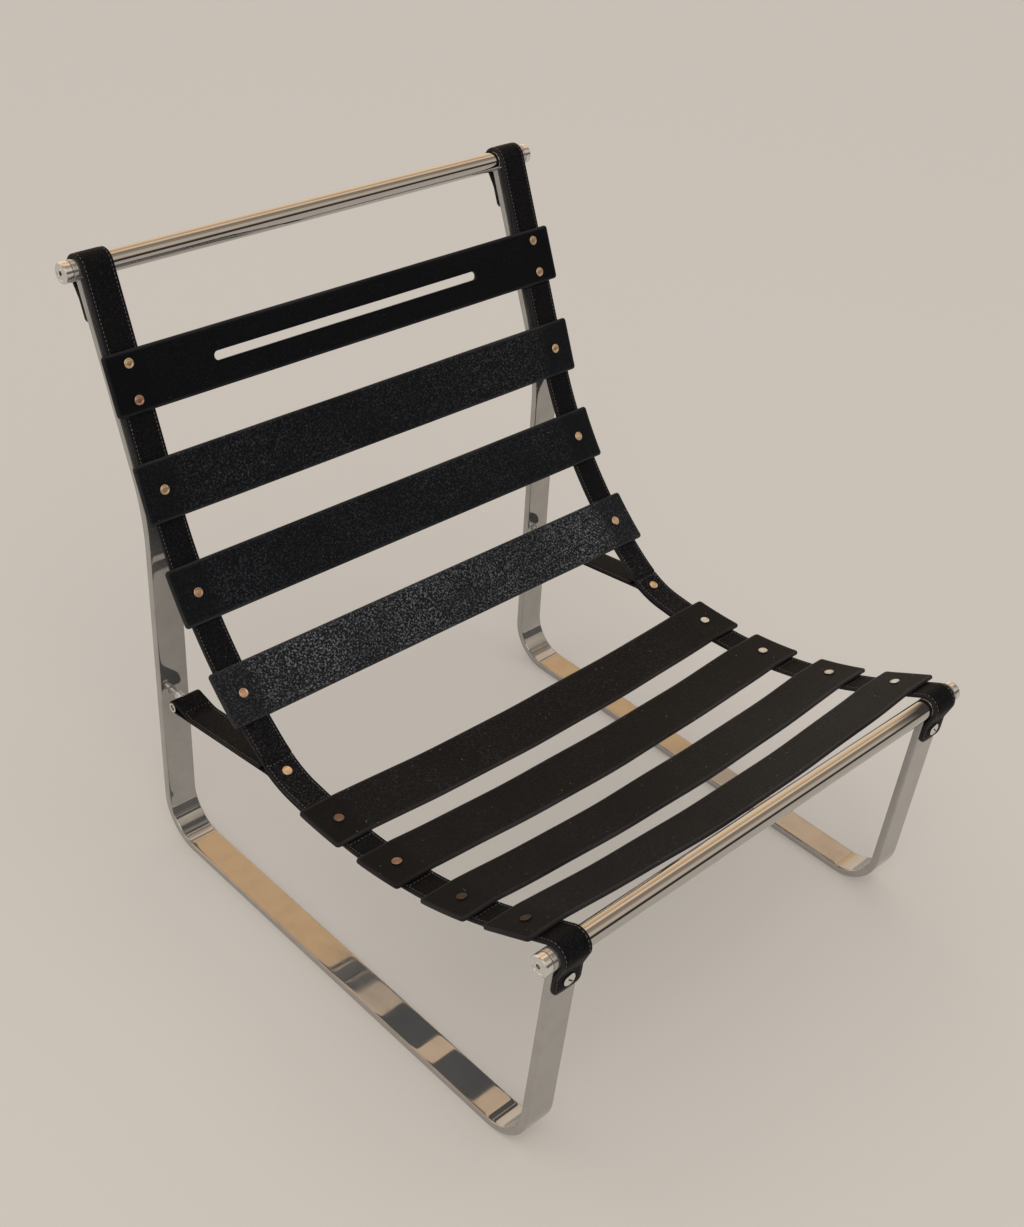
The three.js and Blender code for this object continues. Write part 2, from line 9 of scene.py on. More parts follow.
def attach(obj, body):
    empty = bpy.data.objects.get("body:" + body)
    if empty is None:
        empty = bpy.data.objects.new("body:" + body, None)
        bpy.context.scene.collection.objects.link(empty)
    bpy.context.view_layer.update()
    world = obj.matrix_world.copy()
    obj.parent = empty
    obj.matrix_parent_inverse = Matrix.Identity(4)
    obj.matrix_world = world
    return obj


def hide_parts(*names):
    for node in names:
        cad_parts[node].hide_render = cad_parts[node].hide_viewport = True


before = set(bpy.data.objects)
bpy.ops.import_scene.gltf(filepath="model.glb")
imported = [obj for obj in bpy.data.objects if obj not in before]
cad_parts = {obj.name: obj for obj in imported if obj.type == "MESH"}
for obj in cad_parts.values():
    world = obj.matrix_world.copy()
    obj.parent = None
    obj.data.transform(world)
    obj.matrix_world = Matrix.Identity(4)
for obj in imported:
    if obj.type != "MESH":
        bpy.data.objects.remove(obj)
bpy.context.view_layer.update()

bl_info = {
    "name": "Cantilever lounge chair",
    "version": (1, 0, 0),
    "blender": (4, 5, 0),
    "location": "View3D > Sidebar > Lounge Chair",
    "description": "Builds a steel bar lounge chair with a slung seat of leather straps and slats",
    "category": "Object",
}

SIDES = {"left": -1, "right": 1}
ACROSS = np.array([1.0, 0.0, 0.0])

# Where the long strap's straight runs would meet, as shares of the frame's depth and the head rod's height
STRAP_CORNERS = ((0.904, 0.465), (0.659, 0.318), (0.3235, 0.2915))
# The slats and the joint rivets, as shares of the way along the strap from the head rod to the front rod
SLAT_STATIONS = (0.122, 0.239, 0.356, 0.476, 0.664, 0.758, 0.858, 0.952)
JOINT_STATION = 0.574
BACK_SLATS = 4

SLAT_WEAR = (0.10, 0.72, 0.60, 1.0, 0.50, 0.34, 0.42, 0.50)
SLAT_FINISHES = ("head", "back", "back", "rubbed", "seat", "seat", "seat", "seat")
USUAL_WEAR = 0.4
LEATHER_BUMP, METAL_BUMP = 0.0006, 0.0004
LEATHER_SHEEN = (0.78, 0.90, 1.0, 1)
RIVET_ROWS = ("1a", "1b", "2", "3", "4", "5", "6", "7", "8", "joint")
# Rivet tones by place are partly tarnish and partly painted reflection and shade: darker at the left of the seat,
# paler on its right
RIVET_TONES = {
    "left": {"1b": "red", "5": "worn", "6": "worn", "7": "dark", "8": "dark"},
    "right": {"5": "pale", "6": "pale", "7": "pale", "8": "pale"},
}

# Fine shape, in metres: how far a bar's face falls to its edges, how deep a stitch lies in its line and the line in
# the leather, the room beside a row of cross stitches, and how far behind the joint rivet the crease lies
BAR_FALL = 0.00006
STITCH_SINK = 0.0002
ROW_INSET = 0.0003
CROSS_MARGIN = 0.004
CREASE_SETBACK = 0.018
SCREW_SLOT_TURN = math.radians(-45)

# The sky that only glossy rays see: degrees from the rear over the top to the front, and the colour there
TAN, CREAM, DARK = (0.84, 0.52, 0.24), (0.86, 0.69, 0.52), (0.05, 0.04, 0.035)
MIRRORED_SKY = [
    (0, (0.72, 0.60, 0.45)), (6, (0.90, 0.77, 0.62)), (38, (0.90, 0.68, 0.46)), (47, TAN), (54.1, TAN),
    (54.3, (0.26, 0.19, 0.13)), (54.6, (0.26, 0.19, 0.13)), (54.8, (0.59, 0.45, 0.32)), (56.8, (0.59, 0.45, 0.32)),
    (57.2, (0.84, 0.60, 0.39)), (62, (0.80, 0.56, 0.36)), (62.8, (0.25, 0.15, 0.08)), (66.5, (0.25, 0.15, 0.08)),
    (68, CREAM), (88, CREAM), (92, (0.26, 0.20, 0.14)), (97, (0.40, 0.32, 0.24)), (103, (0.16, 0.12, 0.09)),
    (110, (0.42, 0.34, 0.26)), (118, (0.24, 0.19, 0.14)), (125, (0.48, 0.41, 0.33)), (140, (0.62, 0.54, 0.45)),
    (155, (0.50, 0.44, 0.37)), (159, DARK), (179.5, DARK), (180, (0.30, 0.27, 0.23)),
]
# The colours they see far off to the sides, by how far a direction points across the chair, and where these take over
SIDE_SKY = [
    (0.81, (0.06, 0.055, 0.05)), (0.87, (0.06, 0.055, 0.05)), (0.89, (0.80, 0.76, 0.70)), (0.96, (0.55, 0.50, 0.44)),
]
SIDE_SKY_START, SIDE_SKY_FULL = 0.78, 0.81
KEY_PLACE, KEY_TARGET, KEY_WIDTH, KEY_TINT = (-1.6, -1.8, 3.2), (0, 0, 0.3), 2.4, (1.0, 0.975, 0.94)
FLOOR_REACH = 45.0
SENSOR_WIDTH = 36.0


def length(name, description, default):
    """A property that holds a length in metres."""
    return FloatProperty(
        name=name, description=description, default=default, precision=4, unit="LENGTH", subtype="DISTANCE"
    )


def colour(name, description, default):
    """A property that holds a linear colour."""
    return FloatVectorProperty(
        name=name, description=description, default=default, size=4, min=0, max=1, subtype="COLOR"
    )


def share(name, description, default):
    """A property that holds a share from 0 to 1."""
    return FloatProperty(name=name, description=description, default=default, min=0, max=1, subtype="FACTOR")


class ChairFrameSizes(bpy.types.PropertyGroup):
    """Sizes of the steel frames and rods, as in the CAD."""

    half_span: length("Half span", "From the chair's middle to the middle of a side frame", 0.312)
    front_y: length("Front foot", "Where the bar's middle stands at the front foot, along Y", -0.38477)
    bar_width: length("Bar width", "Width of the flat bar", 0.040)
    bar_thickness: length("Bar thickness", "Thickness of the flat bar", 0.010)
    bar_edge: length("Bar edge", "Radius of the bar's rounded edges", 0.0018)
    foot_depth: length("Foot depth", "Between the front and rear corners of a frame", 0.655)
    foot_radius: length("Foot radius", "Bend at the front and rear feet", 0.055)
    knee_height: length("Knee height", "Height of the front rod", 0.310)
    knee_lean: length("Knee lean", "How far the front rod stands ahead of the front foot", 0.012)
    head_height: length("Head height", "Height of the head rod", 0.729)
    bend_height: share("Bend height", "Height of the rear post's bend, of the head rod's height", 0.6447)
    post_lean: share("Post lean", "Lean of the post below its bend, run over rise", 0.033)
    head_lean: share("Head lean", "Lean of the post above its bend, run over rise", 0.4286)
    bend_radius: length("Bend radius", "Radius of the rear post's bend", 0.250)
    rod_radius: length("Rod radius", "Radius of the rods and their sleeves", 0.0125)
    sleeve_overhang: length("Sleeve overhang", "How far a sleeve stands out past the bar", 0.0075)
    cap_length: length("Cap length", "Thickness of the bolt heads on the rods' ends", 0.010)


class ChairLeatherSizes(bpy.types.PropertyGroup):
    """Sizes of the straps and slats. The slats' corners are tighter than in the CAD, as the photo shows them."""

    fit: length("Fit", "Gap between touching pieces", 0.0003)
    strap_width: length("Strap width", "Width of the long straps", 0.040)
    strap_thickness: length("Strap thickness", "Both layers together", 0.005)
    strap_corner: length("Strap corner", "Rounding of a strap end's corners", 0.007)
    back_bend: share("Back bend", "Reach of the back's curve, of the lower back's straight run", 0.8125)
    joint_bend: share("Joint bend", "Reach of the joint's curve, of the lower back's straight run", 0.159)
    seat_bend: share("Seat bend", "Reach of the seat's curve, of the rear seat's straight run", 0.784)
    tail_length: length("Tail length", "Strap end behind the rear post, from the head rod", 0.060)
    tail_settle: length("Tail settle", "Where the tail meets the post, from the head rod", 0.032)
    tab_length: length("Tab length", "Strap end on the front leg, from the front rod", 0.049)
    tab_settle: length("Tab settle", "Where the tab meets the leg, from the front rod", 0.025)
    lap_radius: length("Lap radius", "Bend of a strap's end where it meets the bar", 0.012)
    screw_inset: length("Screw inset", "From a strap's end to its screw", 0.014)
    slat_length: length("Slat length", "Length of the slats across the chair", 0.684)
    slat_width: length("Slat width", "Width of the slats", 0.071)
    slat_thickness: length("Slat thickness", "Thickness of the slats", 0.0045)
    slat_corner: length("Slat corner", "Rounding of the slats' corners", 0.0045)
    seat_sag: length("Seat sag", "Dip of the seat slats at mid-span", 0.012)
    slot_length: length("Slot length", "Length of the head slat's slot", 0.408)
    slot_width: length("Slot width", "Width of the head slat's slot", 0.011)
    head_pitch: length("Head rivet pitch", "Between the two rivets at each end of the head slat", 0.042)
    stitch_inset: length("Stitch inset", "From a strap's edge to its stitching", 0.0036)
    stitch_pitch: length("Stitch pitch", "From one stitch to the next", 0.0048)
    stay_layer: length("Stay layer", "Thickness of one layer of a stay strap", 0.0024)
    stay_lap: length("Stay lap", "How far a stay runs on past the first seat slat's rivet", 0.020)
    stay_lift_gap: length("Stay lift gap", "Straight stay left behind the joint rivet's tail", 0.001)
    stay_bend: length("Stay bend", "Bend of the stay where it leaves the main strap", 0.012)
    stay_closing: length("Stay closing", "From the pin to where the two layers meet", 0.032)
    stay_closing_radius: length("Stay closing radius", "Curve where the two layers meet", 0.040)
    stay_top_end: length("Stay top end", "Where the upper layer ends behind the main strap", 0.016)


class ChairFittingSizes(bpy.types.PropertyGroup):
    """Sizes of the rivets, screws and stay fittings. Screw heads, pins and studs are as the photo shows them, and
    differ from the CAD."""

    stay_height: share("Stay height", "Height of the stay fitting, of the head rod's height", 0.2936)
    stay_reach: length("Stay reach", "From the post's middle to the stay's pin", 0.030)
    pin_radius: length("Pin radius", "Radius of the stay's cross pin", 0.0055)
    barrel_radius: length("Barrel radius", "Radius of the stay stud's barrel", 0.0052)
    neck_radius: length("Neck radius", "Radius of the stay stud's neck", 0.0036)
    nut_radius: length("Nut radius", "Corner radius of the nut behind the post", 0.0075)
    nut_length: length("Nut length", "Length of the nut behind the post", 0.007)
    rivet_radius: length("Rivet head radius", "Radius of a rivet's head", 0.006)
    rivet_height: length("Rivet head height", "Height of a rivet's head", 0.0017)
    rivet_shank: length("Rivet shank", "Radius of a rivet's shank", 0.002)
    rivet_tail: length("Rivet tail radius", "Radius of a rivet's clenched tail", 0.0045)
    rivet_tail_height: length("Rivet tail height", "Height of a rivet's clenched tail", 0.0012)
    screw_radius: length("Screw head radius", "Radius of a slotted screw's head", 0.0078)
    screw_height: length("Screw head height", "Height of a slotted screw's head", 0.0022)
    screw_shank: length("Screw shank", "Radius of a screw's shank", 0.0025)
    screw_grip: length("Screw grip", "Depth of a screw in the bar", 0.007)


class ChairFinishes(bpy.types.PropertyGroup):
    """Colours and surface of the materials."""

    steel: colour("Steel", "Polished bars", (0.44, 0.425, 0.405, 1))
    rod: colour("Rod steel", "Polished rods, brighter than the bars", (0.53, 0.515, 0.495, 1))
    bright: colour("Bright steel", "Caps, nuts, pins and screws", (0.74, 0.73, 0.71, 1))
    steel_roughness: share("Steel roughness", "Roughness of the polished steel", 0.03)
    steel_metal: share("Steel metal", "Mirror share of the steel, the rest being haze", 0.78)
    slat_dark: colour("Slat leather", "Body of the slat leather", (0.0040, 0.0040, 0.0048, 1))
    slat_worn: colour("Worn slat leather", "Rubbed tops of the grain", (0.066, 0.070, 0.079, 1))
    rubbed_dark: colour("Most rubbed slat", "Body of the slat that is rubbed most", (0.0085, 0.0085, 0.0092, 1))
    rubbed_worn: colour("Most rubbed grain", "Rubbed grain of the slat that is rubbed most", (0.205, 0.207, 0.220, 1))
    seat_dark: colour("Seat leather", "Body of the seat slats", (0.0070, 0.0056, 0.0052, 1))
    seat_worn: colour("Worn seat leather", "Rubbed parts of the seat slats", (0.050, 0.052, 0.058, 1))
    strap_dark: colour("Strap leather", "Body of the straps", (0.0045, 0.0040, 0.0042, 1))
    strap_worn: colour("Worn strap leather", "Rubbed parts of the straps", (0.075, 0.068, 0.067, 1))
    # The leather edges' pale colour is a painted highlight along the rim
    painted_edge_highlight: colour("Leather edge", "Burnished edges", (0.034, 0.031, 0.031, 1))
    thread: colour("Thread", "Stitching thread", (0.13, 0.118, 0.105, 1))
    copper: colour("Copper", "Usual rivet heads", (0.80, 0.60, 0.40, 1))
    copper_dull: colour("Dulled copper", "Tarnish on the usual rivet heads", (0.36, 0.20, 0.14, 1))
    copper_red: colour("Red copper", "Reddest rivet head, on the head slat", (0.56, 0.33, 0.25, 1))
    # The seat rivets' tones are partly tarnish and partly painted reflection and shade; the pale one is bluish so that
    # it reads silvery under the tan mirrored sky
    copper_rear_left: colour("Worn copper", "Rivet heads at the rear left of the seat", (0.36, 0.25, 0.215, 1))
    copper_dark: colour("Dark copper", "Dullest rivet heads at the front left", (0.10, 0.072, 0.058, 1))
    copper_pale: colour("Pale copper", "Bright rubbed rivet heads on the right of the seat", (0.66, 0.70, 0.74, 1))


class ChairStageSettings(bpy.types.PropertyGroup):
    """Floor, light and camera."""

    floor: colour("Floor", "Plain pale floor", (0.62, 0.563, 0.50, 1))
    floor_glow: share("Floor glow", "Share of the floor's colour that no shadow darkens", 0.30)
    sky: FloatProperty(name="Sky", description="Brightness of the even sky that lights the chair", default=0.86)
    mirrored_sky: FloatProperty(name="Mirrored sky", description="Brightness that glossy rays see", default=1.24)
    camera_place: FloatVectorProperty(
        name="Camera place", description="Where the camera stands", default=(-1.196, -1.122, 1.495), unit="LENGTH"
    )
    camera_azimuth: FloatProperty(
        name="Azimuth", description="Direction the camera stands in", default=math.radians(-46.54), unit="ROTATION"
    )
    camera_elevation: FloatProperty(
        name="Elevation", description="How far the camera looks down", default=math.radians(34.92), unit="ROTATION"
    )
    camera_roll: FloatProperty(
        name="Roll", description="Turn of the camera about its view", default=math.radians(5.24), unit="ROTATION"
    )
    lens: FloatProperty(name="Lens", description="Focal length on a 36 mm wide sensor", default=58.45, unit="CAMERA")
    key_strength: FloatProperty(name="Key light", description="Strength of the large soft light", default=24.0)


# Side-view geometry: a point is an array of Y and Z


def point(y, z):
    """A point or direction of the side view."""
    return np.array([y, z], float)


def heading(start, end):
    """The direction of length one from a point to another."""
    step = end - start
    return step / np.hypot(*step)


def left_of(direction):
    """A quarter turn anticlockwise of one direction or an array of directions."""
    direction = np.asarray(direction)
    return np.stack([-direction[..., 1], direction[..., 0]], -1)


def turned_by(vector, angles):
    """A vector turned by an array of angles."""
    angles = np.asarray(angles, float)
    y = vector[0] * np.cos(angles) - vector[1] * np.sin(angles)
    z = vector[0] * np.sin(angles) + vector[1] * np.cos(angles)
    return np.stack([y, z], -1)


def arc(centre, start, turn):
    """Points of a circular arc: the spoke to the start, turned evenly through a signed angle."""
    spoke = start - centre
    count = max(8, int(abs(turn) * np.hypot(*spoke) / 0.003), int(abs(turn) / math.radians(3)))
    return centre + turned_by(spoke, np.linspace(0, turn, count))


def turn_between(arriving, leaving):
    """The signed turn from one direction to another."""
    return math.atan2(arriving[0] * leaving[1] - arriving[1] * leaving[0], arriving @ leaving)


def rounded_corner(before, corner, after, radius):
    """The arc of a given radius that is tangent to both straight runs of a corner."""
    arriving = heading(before, corner)
    turn = turn_between(arriving, heading(corner, after))
    start = corner - arriving * radius * math.tan(abs(turn) / 2)
    return arc(start + left_of(arriving) * radius * math.copysign(1, turn), start, turn)


def eased_corner(before, corner, after, setback):
    """The arc that rounds a corner from and to the same distance from it."""
    turn = turn_between(heading(before, corner), heading(corner, after))
    return rounded_corner(before, corner, after, setback / math.tan(abs(turn) / 2))


def touch_point(start, centre, radius, side):
    """Where the tangent from a point touches a circle that lies on its left (1) or right (-1)."""
    distance = np.hypot(*(centre - start))
    lean = math.asin(radius / distance)
    direction = turned_by(heading(start, centre), -side * lean)
    return start + direction * distance * math.cos(lean)


def wrapped_arc(before, centre, after, radius):
    """The anticlockwise arc of a strap round a rod, between its tangents from two outside points."""
    start = touch_point(before, centre, radius, 1)
    end = touch_point(after, centre, radius, -1)
    turn = turn_between(start - centre, end - centre) % (2 * math.pi)
    return arc(centre, start, turn)


class Run:
    """A smooth side-view line, read by its distance from its start."""

    def __init__(self, stretches):
        points = np.vstack([np.atleast_2d(s) for s in stretches])
        steps = np.hypot(*np.diff(points, axis=0).T)
        points = points[np.concatenate([[True], steps > 1e-6])]
        reach = np.concatenate([[0], np.cumsum(np.hypot(*np.diff(points, axis=0).T))])
        self.length = reach[-1]
        even = np.linspace(0, self.length, int(self.length / 0.0008))
        self.reach = even
        self.points = np.column_stack([np.interp(even, reach, points[:, i]) for i in (0, 1)])
        slopes = np.gradient(self.points, even, axis=0)
        self.headings = slopes / np.hypot(*slopes.T)[:, None]

    def at(self, distance):
        """Points of the line at these distances."""
        distance = np.asarray(distance, float)
        return np.stack([np.interp(distance, self.reach, self.points[:, i]) for i in (0, 1)], -1)

    def along(self, distance):
        """The line's directions at these distances."""
        distance = np.asarray(distance, float)
        found = np.stack([np.interp(distance, self.reach, self.headings[:, i]) for i in (0, 1)], -1)
        return found / np.linalg.norm(found, axis=-1, keepdims=True)

    def beside(self, distance, offset):
        """Points beside the line, on its right where the offset is positive."""
        return self.at(distance) - left_of(self.along(distance)) * np.asarray(offset)[..., None]

    def reach_of(self, place):
        """The distance of the line's point nearest to a place."""
        return self.reach[np.argmin(np.hypot(*(self.points - place).T))]


class SideView:
    """The chair's lines and fixing points in the side view, worked out from its sizes."""

    def __init__(self):
        scene = bpy.context.scene
        self.steel, self.leather, self.fittings = scene.chair_frame, scene.chair_leather, scene.chair_fittings
        steel = self.steel
        foot = steel.bar_thickness / 2
        front = steel.front_y
        rear = front + steel.foot_depth
        self.front_foot = point(front, foot)
        self.rear_foot = point(rear, foot)
        bend_height = steel.bend_height * steel.head_height
        self.bend = point(rear + steel.post_lean * bend_height, bend_height)
        rise = steel.head_height - bend_height
        self.head = self.bend + point(steel.head_lean * rise, rise)
        self.knee = point(front - steel.knee_lean, steel.knee_height)
        self.bar = Run([
            self.knee,
            rounded_corner(self.knee, self.front_foot, self.rear_foot, steel.foot_radius),
            rounded_corner(self.front_foot, self.rear_foot, self.bend, steel.foot_radius),
            rounded_corner(self.rear_foot, self.bend, self.head, steel.bend_radius),
            self.head,
        ])
        self.build_strap()
        self.build_stay()

    def lap_point(self, axis, bar_end, distance, face):
        """A point of a strap's middle line where it lies on a bar's face, 1 being the left of the way down."""
        down = heading(axis, bar_end)
        out = self.steel.bar_thickness / 2 + self.leather.fit + self.leather.strap_thickness / 2
        return axis + down * distance + left_of(down) * face * out

    def build_strap(self):
        """The long strap's middle line, tangent round both rods, and where the slats and the joint lie on it."""
        steel, leather = self.steel, self.leather
        tail_end = self.lap_point(self.head, self.bend, leather.tail_length, 1)
        tail_bend = self.lap_point(self.head, self.bend, leather.tail_settle, 1)
        tab_bend = self.lap_point(self.knee, self.front_foot, leather.tab_settle, -1)
        tab_end = self.lap_point(self.knee, self.front_foot, leather.tab_length, -1)
        back, joint, seat = (
            point(steel.front_y + y * steel.foot_depth, z * steel.head_height) for y, z in STRAP_CORNERS
        )
        lower_back, rear_seat = np.hypot(*(back - joint)), np.hypot(*(joint - seat))
        wrap = steel.rod_radius + leather.fit + leather.strap_thickness / 2
        head = wrapped_arc(tail_bend, self.head, back, wrap)
        knee = wrapped_arc(seat, self.knee, tab_bend, wrap)
        self.strap = Run([
            tail_end,
            rounded_corner(tail_end, tail_bend, head[0], leather.lap_radius),
            head,
            eased_corner(head[-1], back, joint, leather.back_bend * lower_back),
            eased_corner(back, joint, seat, leather.joint_bend * lower_back),
            eased_corner(joint, seat, knee[0], leather.seat_bend * rear_seat),
            knee,
            rounded_corner(knee[-1], tab_bend, tab_end, leather.lap_radius),
            tab_end,
        ])
        start = self.strap.reach_of(head[-1])
        span = self.strap.reach_of(knee[0]) - start
        self.slats = [start + span * station for station in SLAT_STATIONS]
        self.joint = start + span * JOINT_STATION

    def build_stay(self):
        """The stay's middle line: along the strap's back, to and round the pin, and back along itself."""
        leather, fittings = self.leather, self.fittings
        post = heading(self.rear_foot, self.bend)
        height = fittings.stay_height * self.steel.head_height
        self.stay_root = self.rear_foot + post * (height - self.rear_foot[1]) / post[1]
        self.stay_out = left_of(post)
        self.pin = self.stay_root + self.stay_out * fittings.stay_reach
        under = leather.strap_thickness / 2 + leather.fit + leather.stay_layer / 2
        front_end = self.slats[BACK_SLATS] + leather.stay_lap
        joint = self.strap.beside(self.joint, -under)
        turn = turn_between(-self.strap.along(self.joint), heading(joint, self.pin))
        lift = fittings.rivet_tail + leather.stay_lift_gap + leather.stay_bend * math.tan(abs(turn) / 2)
        lap = self.strap.beside(np.linspace(front_end, self.joint - lift, 60), -under)
        bend, before_bend = lap[-1], lap[-3]
        lap_way = heading(before_bend, bend)
        loop_radius = fittings.pin_radius + leather.fit + leather.stay_layer / 2
        touch = touch_point(bend, self.pin, loop_radius, 1)
        lower = heading(bend, touch)
        rise = left_of(lower) * (leather.stay_layer + leather.fit)
        closing = touch - lower * leather.stay_closing + rise
        top_end = bend + lower * leather.stay_top_end + rise
        loop = wrapped_arc(bend, self.pin, closing, loop_radius)
        self.stay = Run([
            lap[lap @ lap_way < bend @ lap_way - leather.stay_bend / 2],
            rounded_corner(before_bend, bend, touch, leather.stay_bend),
            loop,
            rounded_corner(loop[-1], closing, top_end, leather.stay_closing_radius),
            top_end,
        ])

    def place(self, side, spot):
        """A side-view point in space, in the middle of a side frame, or of the chair where side is 0."""
        return np.array([side * self.steel.half_span, *spot])

    def strap_spot(self, side, station):
        """A place on the main strap's middle line and the direction to the sitter there."""
        return self.place(side, self.strap.at(station)), self.place(0, -left_of(self.strap.along(station)))

    def lap_spot(self, side, axis, bar_end, reach, face):
        """A place in a bar's middle under a strap end's screw and the direction out of the bar."""
        down = heading(axis, bar_end)
        spot = axis + down * (reach - self.leather.screw_inset)
        return self.place(side, spot), self.place(0, left_of(down) * face)

    def rivets(self):
        """Each rivet row's station, the height of the leather's top, and the depth of its back."""
        leather = self.leather
        top = leather.strap_thickness / 2 + leather.fit + leather.slat_thickness
        back = -leather.strap_thickness / 2
        stay_back = back - leather.fit - leather.stay_layer
        rows = {
            "1a": (self.slats[0] - leather.head_pitch / 2, top, back),
            "1b": (self.slats[0] + leather.head_pitch / 2, top, back),
            "joint": (self.joint, leather.strap_thickness / 2, stay_back),
        }
        for number, station in enumerate(self.slats[1:], 2):
            rows[str(number)] = (station, top, stay_back if number == 5 else back)
        return rows


# Meshes


class Body:
    """Points and faces gathered for one piece, with a material slot and the masks of its edges and wear."""

    def __init__(self):
        self.points, self.faces, self.slots, self.rims, self.wears = [], [], [], [], []
        self.count = 0

    def add(self, points, faces, slot=0, rim=None, wear=None):
        """Gather points and blocks of faces, whose numbers count from this call's first point."""
        points = np.asarray(points, float).reshape(-1, 3)
        self.points.append(points)
        for block in faces:
            block = np.asarray(block, int)
            self.faces.append(block + self.count)
            self.slots.append(np.full(len(block), slot))
        self.rims.append(np.zeros(len(points)) if rim is None else np.asarray(rim, float).ravel())
        self.wears.append(np.full(len(points), USUAL_WEAR) if wear is None else np.asarray(wear, float).ravel())
        self.count += len(points)

    def mesh(self, name):
        """All that was gathered, as one mesh with its masks as attributes."""
        points = np.vstack(self.points)
        loops = np.concatenate([block.ravel() for block in self.faces])
        totals = np.concatenate([np.full(len(block), block.shape[1]) for block in self.faces])
        mesh = bpy.data.meshes.new(name)
        mesh.vertices.add(len(points))
        mesh.vertices.foreach_set("co", points.astype(np.float32).ravel())
        mesh.loops.add(len(loops))
        mesh.loops.foreach_set("vertex_index", loops.astype(np.int32))
        mesh.polygons.add(len(totals))
        mesh.polygons.foreach_set("loop_start", (np.cumsum(totals) - totals).astype(np.int32))
        mesh.polygons.foreach_set("material_index", np.concatenate(self.slots).astype(np.int32))
        mesh.update(calc_edges=True)
        for label, values in (("rim", self.rims), ("wear", self.wears)):
            layer = mesh.attributes.new(label, "FLOAT", "POINT")
            layer.data.foreach_set("value", np.concatenate(values).astype(np.float32))
        mesh.validate()
        return mesh


def grid_faces(rows, columns, close_columns=False, close_rows=False):
    """Quads of a grid whose points are listed row by row, wound so that columns cross rows to face out."""
    row = np.arange(rows if close_rows else rows - 1)
    column = np.arange(columns if close_columns else columns - 1)
    row, column = np.meshgrid(row, column, indexing="ij")
    next_column = (column + 1) % columns
    start, next_start = row * columns, (row + 1) % rows * columns
    quads = [start + column, start + next_column, next_start + next_column, next_start + column]
    return np.stack(quads, -1).reshape(-1, 4)


def fan(ring, centre, forward):
    """Triangles from a ring of points to one centre point."""
    after = np.roll(ring, -1)
    middle = np.full(len(ring), centre)
    return np.column_stack([ring, after, middle] if forward else [after, ring, middle])


def capped_faces(rows, columns):
    """Faces of ring rows closed into a tube, and fans over its ends to two points that follow the rings."""
    rings = np.arange(rows * columns).reshape(rows, columns)
    ends = np.vstack([fan(rings[0], rings.size, False), fan(rings[-1], rings.size + 1, True)])
    return [grid_faces(rows, columns, close_columns=True), ends]


def tube(body, grid, rim=None, wear=None):
    """A closed skin from rows of ring points, with a fan over each end."""
    points = np.vstack([grid.reshape(-1, 3), grid[0].mean(0), grid[-1].mean(0)])
    rim = None if rim is None else np.append(rim, [1, 1])
    wear = None if wear is None else np.append(wear, [USUAL_WEAR] * 2)
    body.add(points, capped_faces(*grid.shape[:2]), 0, rim, wear)


def beads(body, grid, flip):
    """Closed beads, all alike: for each, rows of ring points with a fan over each end. Their slot is the second.
    Faces are flipped where the rings run the other way round."""
    count, rows, columns = grid.shape[:3]
    points = np.concatenate([grid.reshape(count, -1, 3), grid[:, [0, -1]].mean(2)], 1)
    offsets = np.arange(count)[:, None, None] * points.shape[1]
    order = -1 if flip else 1
    blocks = [(block[:, ::order] + offsets).reshape(-1, block.shape[1]) for block in capped_faces(rows, columns)]
    body.add(points, blocks, 1)


def zipped(size, mirror):
    """Quads and two end triangles across a ring of points, where point i faces point mirror - i."""
    right = mirror // 2
    left = right - size // 2
    low = np.arange(left + 1, right - 1)
    quads = np.column_stack([low, low + 1, mirror - 1 - low, mirror - low]) % size
    ends = np.array([[left, left + 1, mirror - 1 - left], [right - 1, right, right + 1]]) % size
    return quads, ends


def axes_for(axis):
    """Two directions square to an axis, so that first cross second gives the axis."""
    axis = np.asarray(axis, float) / np.linalg.norm(axis)
    helper = np.array([0.0, 0.0, 1.0]) if abs(axis[0]) > 0.7 else ACROSS
    second = np.cross(axis, helper)
    second /= np.linalg.norm(second)
    return np.cross(second, axis), second, axis


def turned(body, profile, place, axis, sides=48):
    """A turned skin: each radius and height of the profile carried round the axis, from pole to pole."""
    first, second, axis = axes_for(axis)
    radii, heights = np.asarray(profile, float).T[..., None, None]
    angles = np.linspace(0, 2 * math.pi, sides, endpoint=False)[:, None]
    spokes = first * np.cos(angles) + second * np.sin(angles)
    rings = place + radii[1:-1] * spokes + heights[1:-1] * axis
    poles = place + heights[[0, -1], 0] * axis
    body.add(np.vstack([rings.reshape(-1, 3), poles]), capped_faces(len(rings), sides))


def eased(profile, radius):
    """A profile with each inner corner rounded by a short parabola that ends on the corner's two sides."""
    profile = [np.asarray(p, float) for p in profile]
    out = [profile[0]]
    for before, corner, after in zip(profile[:-2], profile[1:-1], profile[2:]):
        to_before, to_after = before - corner, after - corner
        reach = min(radius, 0.45 * np.hypot(*to_before), 0.45 * np.hypot(*to_after))
        start = corner + to_before / np.hypot(*to_before) * reach
        end = corner + to_after / np.hypot(*to_after) * reach
        for t in np.linspace(0, 1, 5):
            out.append((1 - t) ** 2 * start + 2 * t * (1 - t) * corner + t**2 * end)
    out.append(profile[-1])
    return out


def in_space(x, side_view):
    """Side-view points placed across the chair at the given x, in matching array shapes."""
    side_view = np.asarray(side_view)
    return np.concatenate([np.broadcast_to(x, side_view.shape[:-1])[..., None], side_view], -1)


